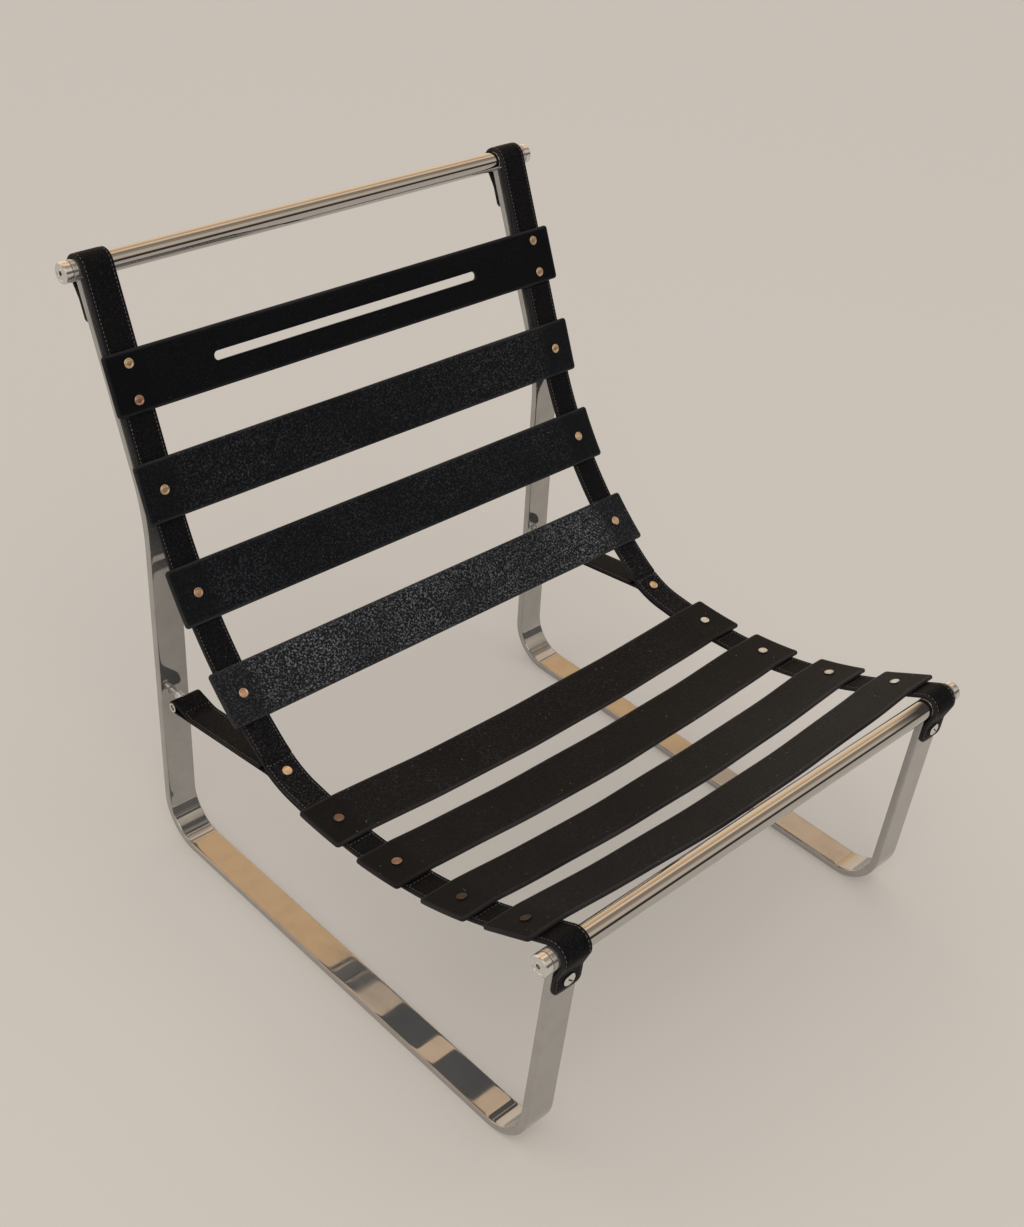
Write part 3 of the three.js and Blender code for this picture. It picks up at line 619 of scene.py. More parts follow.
def piece(name, body, materials, nodes, smooth_angle=math.radians(40)):
    """An object made from a body or a mesh, which rides on the frame and stands for its CAD nodes."""
    mesh = body.mesh(name) if isinstance(body, Body) else body
    made = bpy.data.objects.new(name, mesh)
    bpy.context.scene.collection.objects.link(made)
    for material_name in materials:
        mesh.materials.append(material(material_name))
    mesh.shade_smooth()
    mesh.set_sharp_from_angle(angle=smooth_angle)
    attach(made, "root")
    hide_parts(*nodes)


def cut_mesh(name, body, blade):
    """A body's mesh with another closed body cut away from it."""
    target, cutter = (bpy.data.objects.new(name, shape.mesh(name + "_uncut")) for shape in (body, blade))
    for made in (target, cutter):
        bpy.context.scene.collection.objects.link(made)
    cut = target.modifiers.new("cut", "BOOLEAN")
    cut.object = cutter
    cut.operation = "DIFFERENCE"
    cut.solver = "EXACT"
    graph = bpy.context.evaluated_depsgraph_get()
    mesh = bpy.data.meshes.new_from_object(target.evaluated_get(graph))
    mesh.name = name
    for made in (target, cutter):
        data = made.data
        bpy.data.objects.remove(made)
        bpy.data.meshes.remove(data)
    return mesh


def slot_body(place, axis, half_length, half_width, low, high):
    """A block across an axis, turned as the screws' slots are."""
    first, second, axis = axes_for(axis)
    long = first * math.cos(SCREW_SLOT_TURN) + second * math.sin(SCREW_SLOT_TURN)
    short = np.cross(axis, long)
    ring = [(-1, -1), (1, -1), (1, 1), (-1, 1)]
    rings = [
        [place + long * a * half_length + short * b * half_width + axis * h for a, b in ring] for h in (low, high)
    ]
    body = Body()
    tube(body, np.array(rings))
    return body


# Materials


def feed(tree, made, inputs):
    """Give a node's inputs their constants, or links from the sockets that feed them."""
    for key, source in inputs.items():
        if isinstance(source, bpy.types.NodeSocket):
            tree.links.new(source, made.inputs[key])
        else:
            made.inputs[key].default_value = source


def node(tree, kind, place, inputs=None, **settings):
    """A node with its settings and inputs, as its outputs."""
    made = tree.nodes.new(kind)
    made.location = place
    for key, value in settings.items():
        setattr(made, key, value)
    feed(tree, made, inputs or {})
    return made.outputs


def maths(tree, place, operation, first, second=None, clamp=False):
    """The result of a maths node."""
    inputs = {0: first} if second is None else {0: first, 1: second}
    return node(tree, "ShaderNodeMath", place, inputs, operation=operation, use_clamp=clamp)[0]


def mix(tree, place, factor, first, second):
    """Two colours mixed."""
    inputs = {"Factor": factor, "A": first, "B": second}
    return node(tree, "ShaderNodeMix", place, inputs, data_type="RGBA")["Result"]


def ranged(tree, place, **inputs):
    """A value carried from one range to another, given by the range node's inputs with _ for a space."""
    inputs = {key.replace("_", " "): source for key, source in inputs.items()}
    return node(tree, "ShaderNodeMapRange", place, inputs)["Result"]


def noise(tree, place, vector, scale, detail, **more):
    """The value of a noise texture."""
    inputs = {"Vector": vector, "Scale": scale, "Detail": detail, **more}
    return node(tree, "ShaderNodeTexNoise", place, inputs)["Fac"]


def ramp(tree, place, factor, stops):
    """A colour ramp over pairs of a position and a grey or a colour."""
    made = tree.nodes.new("ShaderNodeValToRGB")
    made.location = place
    feed(tree, made, {"Fac": factor})
    elements = made.color_ramp.elements
    while len(elements) < len(stops):
        elements.new(0.5)
    for element, (position, value) in zip(elements, stops):
        element.position = position
        element.color = (*value, 1) if isinstance(value, tuple) else (value, value, value, 1)
    return made.outputs["Color"]


def new_group(name, defaults):
    """A shader node group: an input for each named number or colour, and outputs for a material's surface."""
    group = bpy.data.node_groups.new(name, "ShaderNodeTree")
    for label, default in defaults.items():
        kind = "NodeSocketColor" if isinstance(default, tuple) else "NodeSocketFloat"
        group.interface.new_socket(name=label, in_out="INPUT", socket_type=kind).default_value = default
    for label, kind in (("Color", "NodeSocketColor"), ("Roughness", "NodeSocketFloat"), ("Height", "NodeSocketFloat")):
        group.interface.new_socket(name=label, in_out="OUTPUT", socket_type=kind)
    return group


def leather_group():
    """Leather: fine pores, rubbed flecks in patches, faint creases, specks of dust, and a burnished rim that is
    smoother and carries a pale painted highlight.
    """
    if "saddle_leather" in bpy.data.node_groups:
        return bpy.data.node_groups["saddle_leather"]
    group = new_group("saddle_leather", {
        "Body": (0.01, 0.01, 0.01, 1), "Worn": (0.05, 0.05, 0.05, 1), "Edge highlight": (0.05, 0.05, 0.05, 1),
        "Grain": 1.0, "Fleck scale": 420.0, "Dust": 0.5,
    })
    given = node(group, "NodeGroupInput", (-1400, 0))
    place = node(group, "ShaderNodeTexCoord", (-1400, 400))["Object"]
    rim = node(group, "ShaderNodeAttribute", (-1400, -500), attribute_name="rim")["Fac"]
    wear = node(group, "ShaderNodeAttribute", (-1400, -200), attribute_name="wear")["Fac"]
    flecks = noise(group, (-1150, 350), place, given["Fleck scale"], 3.0, Roughness=0.65)
    patches = noise(group, (-1150, 100), place, 9.0, 3.0)
    creases = noise(group, (-1150, -150), place, 60.0, 4.0, Distortion=1.2)
    pores = node(group, "ShaderNodeTexVoronoi", (-1150, 650), {"Vector": place, "Scale": 900.0})
    specks = node(group, "ShaderNodeTexVoronoi", (-1150, -750), {"Vector": place, "Scale": 110.0})

    # Rubbed flecks within patches, as strong as the wear mask says
    fleck_mask = ramp(group, (-900, 350), flecks, [(0.50, 0), (0.60, 0.5), (0.70, 1)])
    patch_mask = ramp(group, (-900, 100), patches, [(0.30, 0.45), (0.62, 1)])
    worn = maths(group, (-600, 250), "MULTIPLY", fleck_mask, patch_mask)
    amount = maths(group, (-400, 250), "MULTIPLY", worn, wear, clamp=True)
    tint = mix(group, (-150, 200), amount, given["Body"], given["Worn"])

    # The burnished rim's pale colour, a painted highlight, uneven from patch to patch
    rim_noise = ramp(group, (-900, -350), patches, [(0.30, 0.15), (0.75, 1)])
    rim_highlight_mask = maths(group, (-600, -500), "MULTIPLY", rim, rim_noise)
    edge = mix(group, (150, 100), rim_highlight_mask, tint, given["Edge highlight"])

    # Specks of dust in the middle of a few cells, picked by the cells' random colours
    speck_mask = ramp(group, (-900, -700), specks["Distance"], [(0.055, 1), (0.085, 0)])
    speck_red = node(group, "ShaderNodeSeparateColor", (-900, -950), {"Color": specks["Color"]})["Red"]
    speck_pick = ramp(group, (-700, -950), speck_red, [(0.60, 0), (0.95, 1)])
    speck_here = maths(group, (-450, -750), "MULTIPLY", speck_mask, speck_pick)
    speck_share = maths(group, (-250, -750), "MULTIPLY", speck_here, given["Dust"])
    dusty = mix(group, (400, 100), speck_share, edge, (0.24, 0.23, 0.22, 1))

    # Rougher on the flecks, smoother on the rim
    rough = ranged(group, (300, -200), Value=flecks, To_Min=0.42, To_Max=0.62)
    smooth = maths(group, (300, -450), "MULTIPLY", rim, -0.20)
    finished = maths(group, (550, -250), "ADD", rough, smooth)

    # Height: pores and flecks, less the creases
    crease_mask = ramp(group, (-900, -150), creases, [(0.46, 0), (0.5, 1), (0.54, 0)])
    low = maths(group, (-300, 600), "MULTIPLY", pores["Distance"], 0.6)
    deep = maths(group, (-300, -50), "MULTIPLY", crease_mask, -0.35)
    total = maths(group, (0, 500), "ADD", low, flecks)
    height = maths(group, (200, 450), "ADD", total, deep)
    scaled = maths(group, (400, 450), "MULTIPLY", height, given["Grain"])
    node(group, "NodeGroupOutput", (900, 0), {"Color": dusty, "Roughness": finished, "Height": scaled})
    return group


def metal_group():
    """Polished metal: smears of tarnish, rougher where they lie, and a fine unevenness."""
    if "polished_metal" in bpy.data.node_groups:
        return bpy.data.node_groups["polished_metal"]
    group = new_group("polished_metal", {
        "Body": (0.6, 0.6, 0.6, 1), "Dull": (0.4, 0.4, 0.4, 1), "Tarnish": 0.3, "Polish": 0.12, "Spot scale": 40.0,
    })
    given = node(group, "NodeGroupInput", (-1200, 0))
    place = node(group, "ShaderNodeTexCoord", (-1200, 300))["Object"]
    smears = noise(group, (-950, 250), place, given["Spot scale"], 4.0)
    fine = noise(group, (-950, -50), place, 700.0, 2.0)
    mask = ramp(group, (-700, 250), smears, [(0.42, 0), (0.72, 1)])
    amount = maths(group, (-400, 250), "MULTIPLY", mask, given["Tarnish"], clamp=True)
    tint = mix(group, (-150, 200), amount, given["Body"], given["Dull"])
    lift = maths(group, (-150, 0), "MULTIPLY", amount, 0.10)
    rough = maths(group, (100, 0), "ADD", lift, given["Polish"])
    node(group, "NodeGroupOutput", (700, 0), {"Color": tint, "Roughness": rough, "Height": fine})
    return group


def finish_material(name, group, values, metallic, bump_strength, bump_distance, specular=0.5, sheen=(1, 1, 1, 1)):
    """A material from one of the node groups, with its own values."""
    made = bpy.data.materials.new(name)
    made.use_nodes = True
    tree = made.node_tree
    effect = node(tree, "ShaderNodeGroup", (-500, 0), values, node_tree=group)
    bumps = {"Strength": bump_strength, "Distance": bump_distance, "Height": effect["Height"]}
    feed(tree, tree.nodes["Principled BSDF"], {
        "Metallic": metallic, "Specular IOR Level": specular, "Specular Tint": sheen, "Base Color": effect["Color"],
        "Roughness": effect["Roughness"], "Normal": node(tree, "ShaderNodeBump", (-220, -300), bumps)["Normal"],
    })
    return made


def material(name):
    """One of the chair's materials, made when it is first asked for."""
    if name in bpy.data.materials:
        return bpy.data.materials[name]
    look = bpy.context.scene.chair_finishes

    def skin(body, worn, grain, scale, bump, specular, dust=0.5):
        values = {
            "Body": body, "Worn": worn, "Edge highlight": look.painted_edge_highlight, "Grain": grain, "Fleck scale": scale, "Dust": dust,
        }
        return finish_material(name, leather_group(), values, 0.0, bump, LEATHER_BUMP, specular, LEATHER_SHEEN)

    def metal(body, dull, tarnish, polish, scale, bump=0.0, metallic=1.0):
        values = {"Body": body, "Dull": dull, "Tarnish": tarnish, "Polish": polish, "Spot scale": scale}
        return finish_material(name, metal_group(), values, metallic, bump, METAL_BUMP)

    def rivet(body, dull, polish):
        return metal(body, dull, 1.0, polish, 9.0, 0.1)

    makers = {
        "polished_bar": (metal, look.steel, (0.34, 0.325, 0.305, 1), 0.40, look.steel_roughness, 45.0, 0.0,
                         look.steel_metal),
        "polished_rod": (metal, look.rod, (0.43, 0.42, 0.40, 1), 0.20, look.steel_roughness, 70.0),
        "bright_fitting": (metal, look.bright, (0.60, 0.58, 0.55, 1), 0.3, 0.20, 160.0),
        "satin_stud": (metal, (0.93, 0.93, 0.94, 1), (0.80, 0.80, 0.81, 1), 0.3, 0.34, 160.0, 0.0, 0.8),
        # The dark block in the screw slots: painted shade
        "slot_grime": (metal, (0.012, 0.011, 0.010, 1), (0.02, 0.018, 0.016, 1), 1.0, 0.6, 200.0, 0.0, 0.0),
        "copper_rivet": (rivet, look.copper, look.copper_dull, 0.30),
        "red_rivet": (rivet, look.copper_red, look.copper_dull, 0.30),
        "worn_rivet": (rivet, look.copper_rear_left, look.copper_dark, 0.34),
        "dark_rivet": (rivet, look.copper_dark, (0.05, 0.04, 0.035, 1), 0.40),
        "pale_rivet": (rivet, look.copper_pale, (0.44, 0.44, 0.45, 1), 0.25),
        "head_leather": (skin, look.slat_dark, look.slat_worn, 0.7, 420.0, 0.25, 0.05, 0.25),
        "back_leather": (skin, look.slat_dark, look.slat_worn, 1.0, 400.0, 0.6, 0.10),
        "rubbed_leather": (skin, look.rubbed_dark, look.rubbed_worn, 1.0, 400.0, 0.6, 0.10),
        "seat_leather": (skin, look.seat_dark, look.seat_worn, 0.9, 380.0, 0.4, 0.08, 1.0),
        "belt_leather": (skin, look.strap_dark, look.strap_worn, 0.8, 520.0, 0.3, 0.05),
        "waxed_thread": (skin, look.thread, (0.08, 0.07, 0.06, 1), 0.4, 900.0, 0.2, 0.13, 0.0),
    }
    make, *values = makers[name]
    return make(*values)


# Pieces of steel


def bar_section(width, thickness, edge):
    """A flat bar's outline, as pairs of across and out: each face falls away a little to its rounded corners.
    The second half is the first turned half round."""
    def corner(across, start):
        angles = np.radians(np.linspace(start, start + 90, 5))
        rise = thickness / 2 - edge - BAR_FALL
        return np.column_stack([across * (width / 2 - edge) + edge * np.cos(angles), rise + edge * np.sin(angles)])

    face = np.linspace(1, -1, 31)[1:-1] * (width / 2 - edge)
    fall = BAR_FALL * (np.abs(face) / (width / 2)) ** 8
    half = np.vstack([corner(1, 0), np.column_stack([face, thickness / 2 - fall]), corner(-1, 90)])
    return np.vstack([half, -half])


def rod_profile(radius, start, end):
    """The turned profile of a plain rod with slightly eased ends."""
    return eased([(0, start), (radius, start), (radius, end), (0, end)], 0.0008)


def side_frame_piece(view, name, side):
    """The bar's outline carried along its bent middle line, with a turned sleeve at each end."""
    steel = view.steel
    body = Body()
    section = bar_section(steel.bar_width, steel.bar_thickness, steel.bar_edge)
    stations = np.linspace(0, view.bar.length, 560)
    line = view.bar.beside(stations[:, None], np.broadcast_to(section[:, 1], (len(stations), len(section))))
    tube(body, in_space(side * steel.half_span + section[None, :, 0], line))
    inner, outer = -steel.bar_width / 2, steel.bar_width / 2 + steel.sleeve_overhang
    profile = rod_profile(steel.rod_radius, inner, outer)
    for axis in (view.head, view.knee):
        turned(body, profile, view.place(side, axis), ACROSS * side, 64)
    piece("side_frame_bar_" + name, body, ["polished_bar"], ["side_frame_" + name])


def rod_piece(view, name, axis):
    """A plain turned rod between the two frames' sleeves."""
    steel = view.steel
    half = steel.half_span - steel.bar_width / 2 - view.leather.fit
    body = Body()
    turned(body, rod_profile(steel.rod_radius, -half, half), view.place(0, axis), ACROSS, 72)
    piece(name + "_bar", body, ["polished_rod"], [name])


def end_cap_piece(view, axis, side, node_name):
    """A turned cap on a shank, with a groove behind it, a dished ring on its face and a six-sided socket."""
    steel = view.steel
    start = steel.bar_width / 2 + steel.sleeve_overhang + view.leather.fit
    end = start + steel.cap_length
    radius, groove, chamfer = steel.rod_radius, 0.0008, 0.0012
    shank, shank_end = 0.005, -steel.bar_width / 2 - 0.020
    dish_outer, dish_inner, dish_depth, middle_depth = 0.0088, 0.0042, 0.0008, 0.0002
    place = view.place(side, axis)
    body = Body()
    profile = eased([
        (0, shank_end),
        (shank, shank_end),
        (shank, start),
        (radius - groove, start),
        (radius - groove, start + chamfer),
        (radius, start + chamfer),
        (radius, end - chamfer),
        (radius - 0.0014, end),
        (dish_outer, end),
        (dish_outer - 0.0005, end - dish_depth),
        (dish_inner + 0.0004, end - dish_depth),
        (dish_inner, end - middle_depth),
        (0, end - middle_depth),
    ], 0.0003)
    turned(body, profile, place, ACROSS * side, 64)
    socket, width, low, high = Body(), 0.0031, end - 0.006, end + 0.005
    turned(socket, [(0, low), (width, low), (width, high), (0, high)], place, ACROSS * side, 6)
    mesh = cut_mesh(node_name + "_cap", body, socket)
    piece(node_name + "_cap", mesh, ["bright_fitting"], [node_name])


# Pieces of leather


def strap_section(width, thickness, stitch_inset, layers=2):
    """A strap's outline: a slightly crowned face dented along each stitch line, and rounded edges with a seam.
    With it goes each point's share of the edge mask."""
    edge = min(0.0016, thickness * 0.42)
    dent_depth, dent_width, crown_fall = 0.00035, 0.0011, 0.00025
    seam_depth, seam_width, side_fall, rim_width = 0.00035, 0.0005, 0.0002, 0.0022
    face = np.linspace(-1, 1, 45) * (width / 2 - edge)
    line = width / 2 - stitch_inset
    dent = dent_depth * np.exp(-(((np.abs(face) - line) / dent_width) ** 2))
    crown = crown_fall * (np.abs(face) / (width / 2)) ** 4
    top = thickness / 2 - dent - crown
    angles = np.linspace(math.pi / 2, -math.pi / 2, 15)[1:-1]
    lift = thickness / 2 - edge
    side_x = width / 2 - edge + edge * np.cos(angles)
    side_out = np.sin(angles) * edge + np.sign(np.sin(angles)) * lift
    seam = seam_depth * np.exp(-((side_out / seam_width) ** 2)) if layers == 2 else 0
    right = np.column_stack([side_x - seam, side_out - np.sign(side_out) * side_fall])
    left = right[::-1] * [-1, 1]
    upper = np.column_stack([face, top])
    lower = np.column_stack([face[::-1], -top[::-1]])
    outline = np.vstack([upper, right, lower, left])[::-1]
    rim = np.clip((np.abs(outline[:, 0]) - (width / 2 - rim_width)) / rim_width, 0, 1)
    return outline, rim


def end_taper(distance, radius, width):
    """The share of a strap's width left near an end whose corners are rounded."""
    past = np.clip(radius - distance, 0, radius)
    return 1 - 2 * (radius - np.sqrt(radius**2 - past**2)) / width


def end_stations(total, spacing, radius):
    """Stations along a strap, closer together where its corners round."""
    ease = radius * (1 - np.cos(np.linspace(0, math.pi / 2, 9)))[:-1]
    middle = np.linspace(radius, total - radius, int(total / spacing))
    return np.concatenate([ease, middle, total - ease[::-1]])


def strip(body, run, middle_x, section, rim, stations, taper=1.0, crease=None, wear=None):
    """A strap's outline carried along its line, with its width drawn in at rounded ends. A crease is a bell-shaped
    dent across its face, with the face raised between two smooth steps for a short way before it."""
    taper = np.broadcast_to(taper, stations.shape)
    across = section[None, :, 0] * taper[:, None]
    out = np.broadcast_to(section[None, :, 1], across.shape)
    if crease is not None:
        raise_height, raise_width, dent_depth, dent_width = 0.0005, 0.012, 0.0012, 0.0012
        past = (stations - crease)[:, None]
        raised = raise_height / (1 + np.exp(past / 0.0006)) / (1 + np.exp(-(past + raise_width) / 0.002))
        lowered = dent_depth * np.exp(-((past / dent_width) ** 2)) - raised
        out = out - lowered * (section[None, :, 1] > 0)
    if wear is not None:
        wear = np.broadcast_to(wear[:, None], across.shape)
    grid = in_space(middle_x + across, run.beside(np.broadcast_to(stations[:, None], across.shape), out))
    end_rim = np.clip((1 - taper) * 12, 0, 1)[:, None]
    tube(body, grid, np.maximum(np.broadcast_to(rim, across.shape), end_rim), wear)


def stitch_shape():
    """A stitch's rings, each point's place along it, across it and above it as shares: a circle swelling from end
    to end as the root of one less the fourth power of the place along."""
    along = np.linspace(-1, 1, 5)[None, :, None]
    ring = np.linspace(0, 2 * math.pi, 6, endpoint=False)
    swell = np.sqrt(np.clip(1 - along**4, 0.02, 1))
    return along, np.cos(ring) * swell, np.sin(ring) * swell


def stitch_row(body, run, across, out, stations, side_out):
    """Thread stitches: one small rounded bead repeated at each station, laid along the strap."""
    along, aside, above = stitch_shape()
    half_length, half_width, tall = 0.0017, 0.0004, 0.00045
    s = stations[:, None, None] + along * half_length + 0 * aside
    lift = above * tall - STITCH_SINK
    beads(body, in_space(across + aside * half_width, run.beside(s, out + side_out * lift)), side_out < 0)


def cross_stitches(body, run, station, middle_x, half_reach, out):
    """A row of stitches laid across a strap's face."""
    along, aside, above = stitch_shape()
    pitch, half_length, half_width, tall = 0.0052, 0.0018, 0.00045, 0.0005
    places = np.arange(-half_reach, half_reach, pitch) + pitch / 2
    x = places[:, None, None] + along * half_length + 0 * aside
    s = station + aside * half_width + 0 * x
    lift = above * tall - STITCH_SINK
    beads(body, in_space(middle_x + x, run.beside(s, out + lift)), True)


def main_strap_piece(view, name, side):
    """The long strap: its outline carried from the tail behind the head rod to the tab on the front leg. Its pale
    flecks are strongest in a bell round the joint."""
    leather, run = view.leather, view.strap
    body = Body()
    width, thickness, margin = leather.strap_width, leather.strap_thickness, leather.strap_corner
    section, rim = strap_section(width, thickness, leather.stitch_inset)
    crease, crease_reach, spacing = view.joint - CREASE_SETBACK, 0.0036, 0.0028
    stations = end_stations(run.length, spacing, margin)
    stations = np.sort(np.concatenate([stations, crease + np.linspace(-crease_reach, crease_reach, 19)]))
    taper = end_taper(np.minimum(stations, run.length - stations), margin, width)
    middle_x = side * view.steel.half_span
    # The wear mask lightens the flecks most in a bell round the joint
    fleck_middle, fleck_reach = view.joint + 0.02, 0.09
    wear = 0.2 + 0.8 * np.exp(-(((stations - fleck_middle) / fleck_reach) ** 2))
    strip(body, run, middle_x, section, rim, stations, taper, crease, wear)
    stitches = np.arange(margin, run.length - margin, leather.stitch_pitch)
    line = width / 2 - leather.stitch_inset
    for edge in (-1, 1):
        for face in (-1, 1):
            stitch_row(body, run, middle_x + edge * line, face * (thickness / 2 - ROW_INSET), stitches, face)
    before_crease, past_slat = crease - 0.0042, leather.slat_width / 2 + 0.003
    past_slats = [station + past_slat for station in view.slats[BACK_SLATS:-1]]
    for station in (before_crease, crease + crease_reach, *past_slats):
        cross_stitches(body, run, station, middle_x, width / 2 - CROSS_MARGIN, thickness / 2 - 0.0001)
    piece("main_strap_leather_" + name, body, ["belt_leather", "waxed_thread"], ["main_strap_" + name])


def stay_strap_piece(view, name, side):
    """The folded stay: one strip to the slot, two narrow bands round the pin, and one strip back."""
    leather, run = view.leather, view.stay
    body = Body()
    middle_x = side * view.steel.half_span
    slot_half, slot_start, spacing = view.fittings.neck_radius + 2 * leather.fit, -0.0015, 0.0025
    from_pin = run.points - view.pin
    fold = run.reach[np.argmax(run.points[:, 0])]
    slotted = run.reach[(from_pin @ view.stay_out < slot_start) & (np.hypot(*from_pin.T) < 3 * slot_half)]
    first, last = slotted.min(), slotted.max()
    width, layer = leather.strap_width, leather.stay_layer
    section, rim = strap_section(width, layer, leather.stitch_inset, 1)
    for start, end in ((0, first), (last, run.length)):
        stations = np.linspace(start, end, max(8, int((end - start) / spacing)))
        strip(body, run, middle_x, section, rim, stations)
    band, no_stitches, band_rim_share = width / 2 - slot_half, -1.0, 0.4
    band_section, band_rim = strap_section(band, layer, no_stitches, 1)
    for edge in (-1, 1):
        centre = middle_x + edge * (slot_half + band / 2)
        strip(body, run, centre, band_section, band_rim * band_rim_share, np.linspace(first, last, 90))
    line = width / 2 - leather.stitch_inset
    closed, end_margin, fold_margin, cross_margin = last + leather.stay_closing, 0.006, 0.016, 0.008
    top = np.arange(closed - end_margin, run.length - end_margin, leather.stitch_pitch)
    bottom = np.arange(end_margin, fold - fold_margin, leather.stitch_pitch)
    for edge in (-1, 1):
        for stations in (top, bottom):
            stitch_row(body, run, middle_x + edge * line, layer / 2 - ROW_INSET, stations, 1)
    cross_stitches(body, run, closed - cross_margin, middle_x, width / 2 - CROSS_MARGIN, layer / 2 - 0.0002)
    piece("stay_strap_leather_" + name, body, ["belt_leather", "waxed_thread"], ["stay_strap_" + name])


def rounded_outline(half_length, half_width, radius, long_steps, short_steps, corner_steps):
    """Points round a rounded rectangle, anticlockwise, with the same count on each side whatever its size. The
    second half is the first turned half round."""
    straight_x, straight_y = half_length - radius, half_width - radius
    quarter = np.linspace(0, math.pi / 2, corner_steps, endpoint=False)
    long = np.linspace(-1, 1, long_steps, endpoint=False)
    short = np.linspace(-1, 1, short_steps, endpoint=False)
    half = np.vstack([
        np.column_stack([long * straight_x, np.full(long_steps, -half_width)]),
        np.column_stack([straight_x + radius * np.sin(quarter), -straight_y - radius * np.cos(quarter)]),
        np.column_stack([np.full(short_steps, half_length), short * straight_y]),
        np.column_stack([straight_x + radius * np.cos(quarter), straight_y + radius * np.sin(quarter)]),
    ])
    return np.vstack([half, -half])


def slat_piece(view, index):
    """A slat: rings that shrink from its outline to its slot or middle line, on both faces and round the edge,
    bent to the straps' line, with a parabolic dip between them, a slight ripple, and bell-shaped dents round its
    rivets."""
    leather, steel = view.leather, view.steel
    half_length, half_width, half_thick = leather.slat_length / 2, leather.slat_width / 2, leather.slat_thickness / 2
    counts = (110, 12, 8)
    edge, margin, middle_half_width = 0.0017, 0.010, 0.003
    ripple_height, dent_depth, dent_reach = 0.0007, 0.00028, 0.0085
    outer = rounded_outline(half_length, half_width, leather.slat_corner, *counts)
    shrink = rounded_outline(half_length - edge, half_width - edge, leather.slat_corner - edge, *counts)
    drawn = rounded_outline(half_length - margin, half_width - margin, 0.0005, *counts)
    slotted = index == 0
    if slotted:
        radius = leather.slot_width / 2 - 1e-5
        inner = rounded_outline(leather.slot_length / 2, leather.slot_width / 2, radius, *counts)
    else:
        inner = rounded_outline(half_length - half_width, middle_half_width, 0.001, *counts)

    # From the middle of the lower face outward, round the edge, and inward over the upper face
    steps = np.linspace(0, 1, 13)[1:]
    face = [
        shrink + (drawn - shrink) * (t * 3) if t * 3 < 1 else drawn + (inner - drawn) * (t * 3 - 1) / 2 for t in steps
    ]
    face_rims = [max(0.0, 0.5 - t * 5) for t in steps]
    angles = np.linspace(-math.pi / 2, math.pi / 2, 11)
    edge_rings = [shrink + (outer - shrink) * math.cos(angle) for angle in angles]
    straight = np.copysign(half_thick - edge, np.sin(angles)) * np.minimum(1, np.abs(angles) * 3)
    rings = [*face[::-1], *edge_rings, *face]
    heights = [*[-half_thick] * len(face), *(edge * np.sin(angles) + straight), *[half_thick] * len(face)]
    rims = [*face_rims[::-1], *[1.0] * len(angles), *face_rims]
    if slotted:
        wall = np.linspace(1, -1, 7)[1:-1]
        rings += [inner + (drawn - inner) * 0.0008 * (1 - w**2) for w in wall]
        heights += [half_thick * w for w in wall]
        rims += [0.8] * len(wall)

    x, q = np.moveaxis(np.array(rings), -1, 0)
    rows, columns = x.shape
    heights = np.repeat(np.array(heights)[:, None], columns, 1)
    inner_edge = steel.half_span - steel.bar_width / 2
    sag = leather.seat_sag if index >= BACK_SLATS else 0.0
    dip = sag * np.clip(1 - (x / inner_edge) ** 2, 0, None)
    inside = np.clip(1 - (np.abs(x) / inner_edge) ** 6, 0, 1)
    phase = index * 1.7
    waves = np.sin(x * 17 + phase) * np.cos(q * 31 + phase) + 0.5 * np.sin(x * 41 - phase + q * 20)
    ripple = ripple_height * inside * waves
    dent = np.zeros_like(x)
    for side in (-1, 1):
        for spot in (-leather.head_pitch / 2, leather.head_pitch / 2) if index == 0 else (0.0,):
            near = np.hypot(x - side * steel.half_span, q - spot)
            dent += dent_depth * np.exp(-((near / dent_reach) ** 2))
    lift = leather.strap_thickness / 2 + leather.fit + half_thick
    out = lift - dip + ripple + heights - np.where(heights > 0, dent, 0)
    grid = in_space(x, view.strap.beside(view.slats[index] + q, out))
    blocks = [grid_faces(rows, columns, close_columns=True, close_rows=slotted)[:, ::-1]]
    if not slotted:
        for block in zipped(columns, columns - 2 * counts[2] - counts[1]):
            blocks += [block, block[:, ::-1] + (rows - 1) * columns]
    worn_end, worn_fade, least_worn = inner_edge + 0.013, 0.020, 0.30
    worn = np.clip((worn_end - np.abs(x)) / worn_fade, least_worn, 1) * SLAT_WEAR[index]
    body = Body()
    body.add(grid, blocks, 0, np.repeat(rims, columns), worn)
    name = f"slat_{index + 1}"
    piece(name + "_leather", body, [SLAT_FINISHES[index] + "_leather"], [name])


# Rivets, screws and the stay fittings


